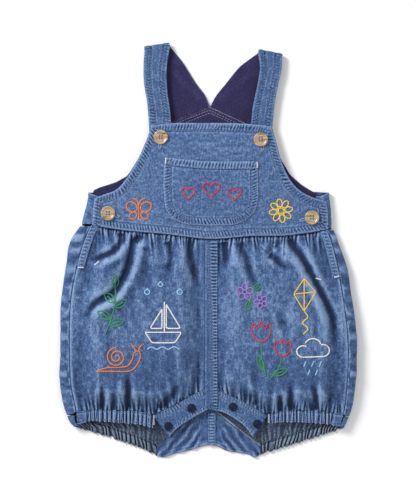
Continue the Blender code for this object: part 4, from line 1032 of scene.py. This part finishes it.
# Bib pocket: a patch of denim with a hemmed mouth, sewn to the bib along its sides and rounded foot
# with two rows of stitching, and tacked at the two corners of the mouth.
POCKET_TOP = ((-45.8, 97.7), (-8.9, 93.7), (52.4, 93.1))
POCKET_LEFT = ((-45.8, 97.7), (-47.1, 83.6), (-46.9, 55.7), (-44.8, 42.4), (-37.7, 32.4))
POCKET_RIGHT = ((52.4, 93.1), (52.4, 75.0), (52.4, 52.5), (48.9, 40.0), (41.0, 32.0))
POCKET_LOW = ((-37.7, 32.4), (-29.4, 28.4), (-8.9, 25.4), (6.8, 25.2), (34.1, 28.4), (41.0, 32.0))
pocket_edge = np.concatenate(
    [run(POCKET_LEFT)(places), run(POCKET_LOW)(places[1:]), run(POCKET_RIGHT)(places[::-1][1:])]
)
pocket_mouth = run(POCKET_TOP)(places)


def pocket_surface(x, y):
    """The pocket's upper face: slack towards its thicker, hemmed mouth."""
    away, along, _ = near(x, y, pocket_edge)
    from_mouth, mouth_along, _ = near(x, y, pocket_mouth)
    slack = 1.1 * ease(away / 26.0) * ease((y - 45.0) / 45.0)
    mouth = 0.45 * ease((8.6 - from_mouth) / 0.8)
    relief = roped(away, along, 1.5, 7.6, 96) + roped(from_mouth, mouth_along, 1.2, 7.8, 97)
    creases = 0.35 * lumps(x, y, 15.0, 11.0, 98) + 0.15 * lumps(x, y, 5.0, 4.0, 99)
    return bib_surface(x, y) + 1.4 + slack + mouth + relief + creases * ease(away / 8.0)


u, v = grid(161, 121)
plan = patch(run(POCKET_LEFT), run(POCKET_RIGHT), run(POCKET_TOP), run(POCKET_LOW))(u, v)
x, y = plan[..., 0], plan[..., 1]
top = pocket_surface(x, y)
under = bib_surface(x, y) + 0.25 + np.clip(top - bib_surface(x, y) - 2.4, 0, 3)
away, from_mouth = (near(x, y, line)[0] for line in (pocket_edge, pocket_mouth))
wear_and_shade = wash_and_trough_shade(top, 3, 0.28) + 0.9 * bell(away, 0.0, 1.0)
wear_and_shade = wear_and_shade + 0.8 * bell(from_mouth, 0.0, 1.1) - 0.2 * ease((8.5 - away) / 2.0)
cloth(
    "bib_pocket", np.dstack([plan, top]), np.dstack([plan, under]), denim, wear_and_shade,
)

# Topstitching: rows of pale blue cotton along the seams, the faced edges and the casings. Each stitch
# is a short bead of thread that stands a little proud of the groove that it pulls in the cloth.
def sewn(name, lines, thread, length, gap, radius):
    """Stitches as low tapered beads of thread along lines of (x, y, z)."""
    starts, ends = [], []
    for line in lines:
        gone = distances(line)
        count = max(1, round(gone[-1] / (length + gap)))
        centres = (np.arange(count) + 0.5) * gone[-1] / count
        for shift, kept in ((-length / 2, starts), (length / 2, ends)):
            kept.append(np.stack([np.interp(centres + shift, gone, line[:, k]) for k in range(3)], axis=1))
    starts, ends = np.concatenate(starts), np.concatenate(ends)
    middle, reach = (starts + ends) / 2, ends - starts
    along = reach / (np.linalg.norm(reach, axis=1, keepdims=True) + 1e-9)
    across = np.cross(along, (0.0, 0.0, 1.0))
    across /= np.linalg.norm(across, axis=1, keepdims=True) + 1e-9
    up = np.cross(across, along)
    rings = []
    for place, wide in ((-0.5, 0.45), (-0.28, 1.0), (0.28, 1.0), (0.5, 0.45)):
        for k in range(5):
            angle = math.tau * (k + 0.25) / 5
            spoke = math.cos(angle) * across + 0.75 * math.sin(angle) * up
            rings.append(middle + reach * place + radius * wide * spoke)
    points = np.stack(rings, axis=1).reshape(-1, 3) * MM
    sides = [(k, (k + 1) % 5) for k in range(5)]
    walls = [(r + k, r + 5 + k, r + 5 + after, r + after) for r in (0, 5, 10) for k, after in sides]
    caps = np.array([range(5), range(19, 14, -1)])
    first = np.arange(len(middle))[:, None, None] * 20
    faces = (np.array(walls) + first).reshape(-1, 4).tolist() + (caps + first).reshape(-1, 5).tolist()
    mesh = bpy.data.meshes.new(name)
    mesh.from_pydata(points, [], faces)
    mesh.shade_smooth()
    mesh.materials.append(thread)
    piece = bpy.data.objects.new(name, mesh)
    bpy.context.scene.collection.objects.link(piece)
    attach(piece, "root")
    return piece


def thread_of(name, colour, sheen):
    """Twisted cotton: the colour varies a little from stitch to stitch, with fine fibres across."""
    made, tree, shader = new_material(name)
    place = add_node(tree, "ShaderNodeTexCoord").outputs["Object"]
    patchy = noise(tree, place, 380.0, 2.0)
    fibre = noise(tree, place, 3200.0, 2.0)
    dark = tuple(0.62 * c for c in colour)
    pale = tuple(min(1.0, 1.18 * c + 0.01) for c in colour)
    tree.links.new(blended(tree, patchy, (*dark, 1.0), (*pale, 1.0)), shader.inputs["Base Color"])
    tree.links.new(maths(tree, "MULTIPLY_ADD", fibre, 0.2, 0.5), shader.inputs["Roughness"])
    raised = add_node(tree, "ShaderNodeBump", {"Height": fibre, "Distance": 0.0002, "Strength": 0.5})
    tree.links.new(raised.outputs[0], shader.inputs["Normal"])
    shader.inputs["Sheen Weight"].default_value = sheen
    return made


def beside(line, distance):
    """A line moved sideways, to its right where the distance is positive."""
    slopes = np.gradient(line, axis=0)
    normal = np.stack([slopes[:, 1], -slopes[:, 0]], axis=1) / np.linalg.norm(slopes, axis=1, keepdims=True)
    return line + distance * normal


def on(surface, line, lift):
    """A line of (x, y) laid on a surface, a little above it."""
    line = np.asarray(line, float)
    gone = distances(line)
    places = np.linspace(0, gone[-1], max(4, int(gone[-1] / 1.2)))
    x, y = (np.interp(places, gone, line[:, k]) for k in (0, 1))
    return np.stack([x, y, surface(x, y) + lift], axis=1)


pale_blue = thread_of("thread_pale_blue", (0.24, 0.33, 0.50), 0.1)
rows = [on(bib_surface, beside(bib_edge, k), 0.12) for k in (1.7, 8.1)]
rows += [on(bib_surface, beside(bib_waist_edge[2:-2], -k), 0.12) for k in (2.1, 7.5)]
sewn("stitching_bib", rows, pale_blue, 2.3, 0.8, 0.26)
rows = [on(pocket_surface, beside(pocket_edge[2:-2], -k), 0.12) for k in (1.5, 7.7)]
rows += [on(pocket_surface, beside(pocket_mouth[1:-1], k), 0.12) for k in (1.3, 7.9)]
sewn("stitching_pocket", rows, pale_blue, 2.2, 0.8, 0.25)
rows = []
for strap in (LEFT_STRAP, RIGHT_STRAP):
    left, right = strap_ends(strap, "front", 41)
    over = (right - left) / np.linalg.norm(right - left, axis=1, keepdims=True)
    for start, sign in ((left, 1), (right, -1)):
        for k in (1.9, 7.2):
            rows.append(np.column_stack([start + sign * k * over, np.full(41, BODICE_HEIGHT - 0.05)])[:31])
sewn("stitching_straps", rows, pale_blue, 2.2, 0.8, 0.25)
down = np.linspace(9.0, -160.0, 90)
rows = []
for k in (0.0, 2.1):
    x = seam_rows(down) + k
    rows.append(np.stack([x, down, centre_seam_surface(x, down) + 0.2], axis=1))
sewn("stitching_centre_seam", rows, pale_blue, 2.3, 0.7, 0.28)
rows = []
for side, sign, low in (("left", -1, -16.0), ("right", 1, -27.5)):
    down = np.linspace(19.0, low, 30)
    for k in (1.9, 6.4):
        x = SIDES[side]["seam"](down) - sign * (SEAM_GAP + k)
        rows.append(np.stack([x, down, placket_surface(x, down) + 0.12], axis=1))
sewn("stitching_plackets", rows, pale_blue, 2.1, 0.8, 0.24)
rows = [on(crotch_surface, beside(crotch_top_edge[2:-2], k), 0.15) for k in (1.4, 6.4)]
rows.append(on(crotch_surface, beside(crotch_low_edge[1:-1], -2.0), 0.15))
sewn("stitching_crotch", rows, pale_blue, 2.1, 0.8, 0.25)
sewn("stitching_hems", hem_rows, pale_blue, 2.0, 0.9, 0.25)
lilac_grey = thread_of("thread_lilac_grey", (0.30, 0.30, 0.44), 0.1)
rows = []
for points in (
    ((-64.0, 109.0), (-60.0, 119.5), (1.4, 144.2), (61.0, 117.0), (66.0, 105.0)),
    ((-60.5, 117.0), (-35.7, 132.5), (0.9, 147.0), (35.7, 130.5), (60.0, 115.0)),
):
    rows.append(on(lining_surface, points, 0.15))
sewn("stitching_lining", rows, lilac_grey, 2.4, 0.7, 0.26)

# Bar tacks and buttonholes: dense white or blue zigzags. They hold the ends of the side openings,
# the pocket's corners and the elastic, and edge the slits that the buttons pass through.
white_thread = thread_of("thread_white", (0.62, 0.66, 0.72), 0.15)
TACKS = (
    (placket_surface, (-136.8, -18.3), (-130.8, -18.3)), (leg_surface, (-119.3, -15.8), (-114.2, -11.8)),
    (placket_surface, (131.7, -28.9), (137.0, -27.3)), (leg_surface, (112.4, -29.4), (118.2, -31.5)),
    (pocket_surface, (-44.6, 96.6), (-44.9, 90.2)), (pocket_surface, (51.2, 92.2), (51.2, 86.0)),
)
rows = [on(surface, (start, end), 0.35) for surface, start, end in TACKS]
sewn("bar_tacks", rows, white_thread, 0.75, -0.2, 0.85)
rows = [np.array(((-58.2, y, 12.4), (-56.4, y + 0.4, 12.4))) for y in np.linspace(-183.0, -174.0, 9)]
rows += [np.array(((62.0, y, 12.4), (64.4, y + 0.4, 12.4))) for y in np.linspace(-181.0, -173.0, 8)]
sewn("casing_tacks", rows, white_thread, 1.9, 0.0, 0.35)
edging, slits = [], []
for start, end in (
    ((-50.9, 121.0), (-50.9, 107.1)), ((56.4, 118.0), (56.4, 104.7)),
    ((-108.0, 38.0), (-93.6, 35.1)), ((111.0, 35.0), (96.1, 30.9)),
):
    start, end = np.array(start), np.array(end)
    along = (end - start) / np.linalg.norm(end - start)
    over = np.array((-along[1], along[0]))
    loop = [start + over, end + over, end + 0.8 * along, end - over, start - over]
    edging.append(on(bib_surface, loop, 0.3))
    slits.append(on(bib_surface, (start, end - 0.5 * along), 0.15))
sewn("buttonhole_edging", edging, pale_blue, 0.62, -0.08, 0.8)
# The slits are dark beads of painted shadow, standing for the shade inside each cut.
painted_slit_shadow = thread_of("slit_shadow", (0.012, 0.02, 0.045), 0.0)
sewn("buttonhole_slits", slits, painted_slit_shadow, 3.0, -0.2, 0.32)

# Buttons: four marbled resin discs with a raised rim, a dished face and four holes, sewn on with a
# cross of thread.
BUTTONS = (
    ("button_bib_left", -50.0, 118.3, 0.0), ("button_bib_right", 54.8, 115.8, 0.0),
    ("button_side_left", -105.6, 38.5, 9.0), ("button_side_right", 108.5, 34.1, 0.0),
)
BUTTON_RADIUS, BUTTON_THICKNESS = 7.5, 2.8
HOLE_RADIUS, HOLE_PLACE = 0.85, 1.9
resin, tree, shader = new_material("marbled_resin")
place = add_node(tree, "ShaderNodeTexCoord").outputs["Object"]
swirl = noise(tree, stretched(tree, place, 95.0, 330.0), 1.0, 4.0)
streak = noise(tree, stretched(tree, place, 60.0, 520.0), 1.0, 3.0)
body = blended(tree, swirl, (0.20, 0.12, 0.06, 1.0), (0.62, 0.48, 0.30, 1.0))
steep = add_node(tree, "ShaderNodeMapRange", {0: streak, 1: 0.52, 2: 0.66, 3: 0.0, 4: 0.85}).outputs[0]
tree.links.new(blended(tree, steep, body, (0.10, 0.045, 0.018, 1.0)), shader.inputs["Base Color"])
tree.links.new(maths(tree, "MULTIPLY_ADD", swirl, 0.15, 0.22), shader.inputs["Roughness"])
shader.inputs["Coat Weight"].default_value = 0.3


def turned_disc(vertices, radius, height, steps, finish, soften, segments, sharpness):
    """A disc that stands on its origin, with a face stepped in by insets and soft edges."""
    bpy.ops.object.select_all(action="DESELECT")
    bpy.ops.mesh.primitive_cylinder_add(vertices=vertices, radius=radius * MM, depth=height * MM)
    disc = bpy.context.object
    disc.data.transform(Matrix.Translation((0.0, 0.0, height / 2 * MM)))
    for inset, rise in steps:
        for item in (*disc.data.vertices, *disc.data.edges):
            item.select = False
        for face in disc.data.polygons:
            face.select = face.normal.z > 0.9 and len(face.vertices) > 10
        bpy.ops.object.mode_set(mode="EDIT")
        bpy.ops.mesh.select_mode(type="FACE")
        bpy.ops.mesh.inset(thickness=inset * MM)
        bpy.ops.transform.translate(value=(0.0, 0.0, rise * MM))
        bpy.ops.object.mode_set(mode="OBJECT")
    edges = disc.modifiers.new("soft_edge", "BEVEL")
    edges.width, edges.segments, edges.angle_limit = soften * MM, segments, math.radians(sharpness)
    bpy.ops.object.modifier_apply(modifier="soft_edge")
    disc.data.materials.clear()
    disc.data.materials.append(finish)
    return disc


def placed(disc, node, ending, place, tilt, smooth):
    """A copy of a disc that stands for its node, at a place in metres, tilted about Y."""
    copy = disc.copy()
    copy.data = disc.data.copy()
    copy.name = f"{node}_{ending}"
    bpy.context.scene.collection.objects.link(copy)
    copy.location = place
    copy.rotation_euler = (0.0, tilt, 0.0)
    bpy.ops.object.select_all(action="DESELECT")
    copy.select_set(True)
    bpy.context.view_layer.objects.active = copy
    bpy.ops.object.transform_apply(location=True, rotation=True, scale=True)
    bpy.ops.object.shade_smooth_by_angle(angle=math.radians(smooth))
    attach(copy, "root")
    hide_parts(node)


first_button = turned_disc(
    64, BUTTON_RADIUS, BUTTON_THICKNESS, ((1.5, -0.25), (1.2, -0.75)), resin,
    soften=0.55, segments=4, sharpness=25,
)
for k in range(4):
    angle = math.pi / 4 + math.pi / 2 * k
    centre = (HOLE_PLACE * math.cos(angle) * MM, HOLE_PLACE * math.sin(angle) * MM, 0.0)
    bpy.ops.mesh.primitive_cylinder_add(
        vertices=24, radius=HOLE_RADIUS * MM, depth=12 * MM, location=centre,
    )
    drill = bpy.context.object
    bpy.context.view_layer.objects.active = first_button
    hole = first_button.modifiers.new("hole", "BOOLEAN")
    hole.operation, hole.object = "DIFFERENCE", drill
    bpy.ops.object.modifier_apply(modifier="hole")
    bpy.data.objects.remove(drill, do_unlink=True)
crosses = []
for name, x, y, tilt in BUTTONS:
    tilt = math.radians(tilt)
    z = float(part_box(name)[0][2]) + BUTTON_RADIUS * math.sin(tilt) * MM
    placed(first_button, name, "resin", (x * MM, y * MM, z), tilt, 35)
    top = z / MM + 0.75 * BUTTON_THICKNESS
    for rise in (1, -1):
        ends = ((-1.5, -1.5 * rise), (1.5, 1.5 * rise))
        crosses.append(np.array([(x + p, y + q, top - math.tan(tilt) * p) for p, q in ends]))
bpy.data.objects.remove(first_button, do_unlink=True)
cream_thread = thread_of("thread_cream", (0.40, 0.33, 0.24), 0.1)
sewn("button_threads", crosses, cream_thread, 4.2, 0.0, 0.36)

# Snaps: four lacquered caps pressed through the crotch placket, domed with a fine ring round the face.
SNAPS = ((-42.0, -185.0), (-17.7, -165.9), (25.9, -164.6), (51.4, -182.7))
SNAP_RADIUS, SNAP_HEIGHT = 4.5, 1.7
lacquer, tree, shader = new_material("navy_lacquer")
scuff = noise(tree, add_node(tree, "ShaderNodeTexCoord").outputs["Object"], 900.0, 4.0)
cap_colour = blended(tree, scuff, (0.001, 0.005, 0.024, 1.0), (0.004, 0.012, 0.045, 1.0))
tree.links.new(cap_colour, shader.inputs["Base Color"])
shader.inputs["Specular IOR Level"].default_value = 0.2
tree.links.new(maths(tree, "MULTIPLY_ADD", scuff, 0.25, 0.35), shader.inputs["Roughness"])
first_snap = turned_disc(
    48, SNAP_RADIUS, SNAP_HEIGHT, ((1.3, 0.0), (0.5, -0.25), (0.4, 0.25), (1.2, 0.15)), lacquer,
    soften=0.35, segments=3, sharpness=40,
)
for number, (x, y) in enumerate(SNAPS, start=1):
    low = float(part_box(f"snap_{number}")[0][2])
    placed(first_snap, f"snap_{number}", "cap", (x * MM, y * MM, low), 0.0, 40)
bpy.data.objects.remove(first_snap, do_unlink=True)

# Embroidery: small line drawings in thick coloured cotton, a chain of overlapping stitches that
# follows the folds of the cloth. The motifs are generic garden, sky and water ones.
def turned(x, y, a, b, turn):
    """The points (a, b) turned by degrees and moved to (x, y)."""
    c, s = math.cos(math.radians(turn)), math.sin(math.radians(turn))
    return np.stack([x + a * c - b * s, y + a * s + b * c], axis=1)


def oval(x, y, wide, tall, turn=0.0, start=0.0, end=360.0):
    t = np.radians(np.linspace(start, end, 40))
    return turned(x, y, wide / 2 * np.cos(t), tall / 2 * np.sin(t), turn)


def heart(x, y, size):
    t = np.linspace(0, math.tau, 60)
    across = 16 * np.sin(t) ** 3
    up = 13 * np.cos(t) - 5 * np.cos(2 * t) - 2 * np.cos(3 * t) - np.cos(4 * t)
    return np.stack([x + size * across / 34, y + size * up / 34], axis=1)


def petals(x, y, count, reach, wide, long, turn=0.0):
    t = np.radians(turn + 360.0 * np.arange(count) / count)
    centres = zip(x + reach * np.cos(t), y + reach * np.sin(t), np.degrees(t))
    return [oval(a, b, long, wide, angle) for a, b, angle in centres]


def star(x, y, size):
    angles = np.radians([90 + 36 * k for k in range(11)])
    reach = np.array([size if k % 2 == 0 else 0.45 * size for k in range(11)])
    return np.stack([x + reach * np.cos(angles), y + reach * np.sin(angles)], axis=1)


def bent_line(*points):
    return run(points)(np.linspace(0, 1, 8 * len(points)))


def straight(*points):
    return np.array(points, float)


def leaf(x, y, long, wide, turn):
    """A leaf that starts at a point: two curved sides and a midrib."""
    t = np.linspace(0, 1, 16)
    sides = [(t * long, k * wide / 2 * np.sin(math.pi * t) ** 0.9) for k in (1, -1)]
    sides.append((t[:12] * long, 0 * t[:12]))
    return [turned(x, y, a, b, turn) for a, b in sides]


t = np.linspace(0, 2.25 * math.tau, 90)
shell_radius = 1.2 + 0.66 * t
spiral = np.stack([-96.0 - shell_radius * np.cos(t), -112.0 + shell_radius * np.sin(t)], axis=1)
RED, ORANGE, YELLOW = (0.56, 0.010, 0.045), (0.72, 0.20, 0.025), (0.78, 0.55, 0.06)
GREEN = (0.02, 0.24, 0.085)
WHITE, LILAC, SKY = (0.80, 0.80, 0.78), (0.32, 0.17, 0.55), (0.30, 0.52, 0.80)
MOTIFS = (
    ("hearts", RED, pocket_surface, [
        heart(-21.0, 60.0, 15.0), heart(3.0, 64.0, 19.0), heart(27.0, 59.0, 15.0),
    ]),
    ("butterfly", ORANGE, bib_surface, [
        *(oval(-73.0 + k * 7.4, 45.0, 12.5, 10.0, k * 35.0) for k in (-1, 1)),
        *(oval(-73.0 + k * 6.0, 36.0, 9.0, 7.0, -k * 40.0) for k in (-1, 1)),
        bent_line((-73.0, 47.0), (-73.0, 31.0)), bent_line((-73.0, 47.0), (-76.0, 53.0), (-80.0, 54.0)),
        bent_line((-73.0, 47.0), (-70.0, 53.0), (-66.0, 54.0)),
    ]),
    ("daisy", YELLOW, bib_surface, [
        *petals(76.0, 41.0, 8, 8.2, 5.6, 9.0, 10.0), oval(76.0, 41.0, 6.4, 6.4),
    ]),
    ("sprig", GREEN, leg_surface, [
        bent_line((-108.0, -88.0), (-101.0, -70.0), (-97.0, -52.0), (-98.0, -36.0)),
        *leaf(-104.0, -78.0, 16.0, 8.0, 15.0), *leaf(-102.0, -72.0, 16.0, 8.0, 150.0),
        *leaf(-98.5, -60.0, 15.0, 7.5, 30.0), *leaf(-97.5, -55.0, 15.0, 7.5, 140.0),
        *leaf(-98.0, -40.0, 14.0, 7.0, 85.0),
    ]),
    ("boat", WHITE, leg_surface, [
        straight((-66.0, -86.0), (-28.0, -86.0), (-35.0, -97.0), (-59.0, -97.0), (-66.0, -86.0)),
        straight((-46.0, -86.0), (-46.0, -54.0)),
        straight((-44.0, -57.0), (-29.0, -82.0), (-44.0, -82.0), (-44.0, -57.0)),
        straight((-48.5, -62.0), (-61.0, -82.0), (-48.5, -82.0), (-48.5, -62.0)),
    ]),
    ("waves", SKY, leg_surface, [
        bent_line((-64.0, -104.0), (-60.0, -101.0), (-54.0, -104.0), (-48.0, -101.0), (-42.0, -104.0),
                  (-36.0, -101.0), (-30.0, -104.0)),
        star(-64.0, -44.0, 4.0), star(-50.0, -36.0, 3.4), star(-30.0, -44.0, 4.0),
    ]),
    ("snail", ORANGE, leg_surface, [
        spiral,
        bent_line((-117.0, -126.5), (-106.0, -123.0), (-92.0, -122.5), (-84.0, -121.0), (-79.0, -113.0),
                  (-77.0, -106.5), (-72.5, -105.5), (-71.0, -110.0), (-74.0, -119.0), (-81.0, -126.0),
                  (-92.0, -127.0)),
        straight((-92.0, -127.0), (-117.0, -126.5)),
        bent_line((-76.0, -106.0), (-78.0, -101.0), (-80.0, -99.0)),
        bent_line((-73.0, -105.5), (-71.5, -101.0), (-69.0, -99.0)),
        oval(-80.6, -98.2, 1.8, 1.8), oval(-68.2, -98.4, 1.8, 1.8),
    ]),
    ("tulips", RED, leg_surface, [
        bent_line((48.0, -92.0), (45.0, -84.0), (47.0, -76.0), (51.0, -83.0), (55.0, -74.0), (59.0, -83.0),
                  (63.0, -76.0), (65.0, -84.0), (62.0, -92.0), (55.0, -96.0), (48.0, -92.0)),
        bent_line((71.0, -107.0), (69.0, -100.0), (71.0, -94.0), (74.5, -99.0), (78.0, -92.0),
                  (81.0, -99.0), (84.0, -94.0), (86.0, -101.0), (83.0, -108.0), (77.0, -111.0),
                  (71.0, -107.0)),
    ]),
    ("tulip_stems", GREEN, leg_surface, [
        bent_line((55.0, -97.0), (56.0, -114.0), (60.0, -132.0)),
        bent_line((77.0, -112.0), (73.0, -124.0), (64.0, -135.0)),
        *leaf(57.5, -126.0, 17.0, 6.5, 112.0), *leaf(66.0, -131.0, 18.0, 6.5, 20.0),
    ]),
    ("blossoms", LILAC, leg_surface, [
        *petals(38.0, -44.0, 5, 5.4, 6.4, 7.4, 18.0), *petals(55.0, -54.0, 5, 4.4, 5.2, 6.2, 40.0),
    ]),
    ("blossom_leaves", GREEN, leg_surface, [
        *leaf(44.0, -52.0, 12.0, 5.5, 250.0), *leaf(46.0, -42.0, 12.0, 5.5, 35.0),
    ]),
    ("kite", YELLOW, leg_surface, [
        straight((100.0, -30.0), (112.0, -44.0), (100.0, -64.0), (89.0, -46.0), (100.0, -30.0)),
        straight((100.0, -30.0), (100.0, -64.0)), straight((89.0, -46.0), (112.0, -44.0)),
        bent_line((100.0, -64.0), (104.0, -70.0), (98.0, -76.0), (104.0, -82.0), (99.0, -88.0)),
    ]),
    ("cloud", WHITE, leg_surface, [
        oval(99.0, -106.0, 14.0, 12.0, 0.0, 60.0, 265.0), oval(109.0, -100.0, 17.0, 15.0, 0.0, 12.0, 160.0),
        oval(119.5, -105.0, 14.0, 12.5, 0.0, -85.0, 105.0), straight((98.5, -112.0), (120.0, -111.3)),
    ]),
    ("rain", SKY, leg_surface, [
        straight((102.0, -116.0), (99.5, -122.0)), straight((110.0, -116.0), (107.5, -122.0)),
        straight((118.0, -116.0), (115.5, -122.0)), straight((106.0, -125.0), (103.5, -131.0)),
        straight((114.0, -125.0), (111.5, -131.0)),
    ]),
)
THREADS = {}
for name, colour, surface, strokes in MOTIFS:
    if colour not in THREADS:
        THREADS[colour] = thread_of(f"embroidery_{name}", colour, 0.25)
    lines = [on(surface, stroke, 0.3) for stroke in strokes]
    sewn(f"embroidered_{name}", lines, THREADS[colour], 2.7, -0.5, 0.74)

# Surface, light and camera: a white table seen straight down through a long lens, lit softly from
# the upper left.
TABLE_GAP = 0.2
bpy.ops.mesh.primitive_plane_add(size=6.0, location=(0.0, 0.0, -TABLE_GAP * MM))
table_top = bpy.context.object
table_top.name = "table_top"
white, tree, shader = new_material("white_table")
shader.inputs["Base Color"].default_value = (0.92, 0.92, 0.925, 1.0)
shader.inputs["Roughness"].default_value = 0.9
table_top.data.materials.append(white)

world = bpy.data.worlds.new("studio")
bpy.context.scene.world = world
world.use_nodes = True
world.node_tree.nodes["Background"].inputs["Color"].default_value = (1.0, 1.0, 1.0, 1.0)
world.node_tree.nodes["Background"].inputs["Strength"].default_value = 0.55
for name, place, size, power in (
    ("key", (-1.2, 1.05, 1.3), 0.75, 40.0),
    ("fill", (1.3, -0.6, 1.6), 1.4, 9.0),
):
    bpy.ops.object.light_add(type="AREA", location=place)
    lamp = bpy.context.object
    lamp.name = name
    lamp.data.size = size
    lamp.data.energy = power
    toward = -np.array(place) / np.linalg.norm(place)
    lamp.rotation_euler = (math.acos(-toward[2]), 0.0, math.atan2(toward[0], -toward[1]) + math.pi)

# The view's height at the garment's middle layers, and the camera's height over them
FRAME_HEIGHT = 523.95
CAMERA_HEIGHT = 2500.0
SENSOR = 36.0
MIDDLE = (-0.5, 0.5, 8.0)
eye = (MIDDLE[0] * MM, MIDDLE[1] * MM, (CAMERA_HEIGHT + MIDDLE[2]) * MM)
bpy.ops.object.camera_add(location=eye, rotation=(0.0, 0.0, 0.0))
camera = bpy.context.object
camera.data.sensor_width = SENSOR
camera.data.lens = SENSOR * CAMERA_HEIGHT / FRAME_HEIGHT
camera.data.clip_end = 20.0
bpy.context.scene.camera = camera
bpy.context.scene.view_settings.view_transform = "Standard"
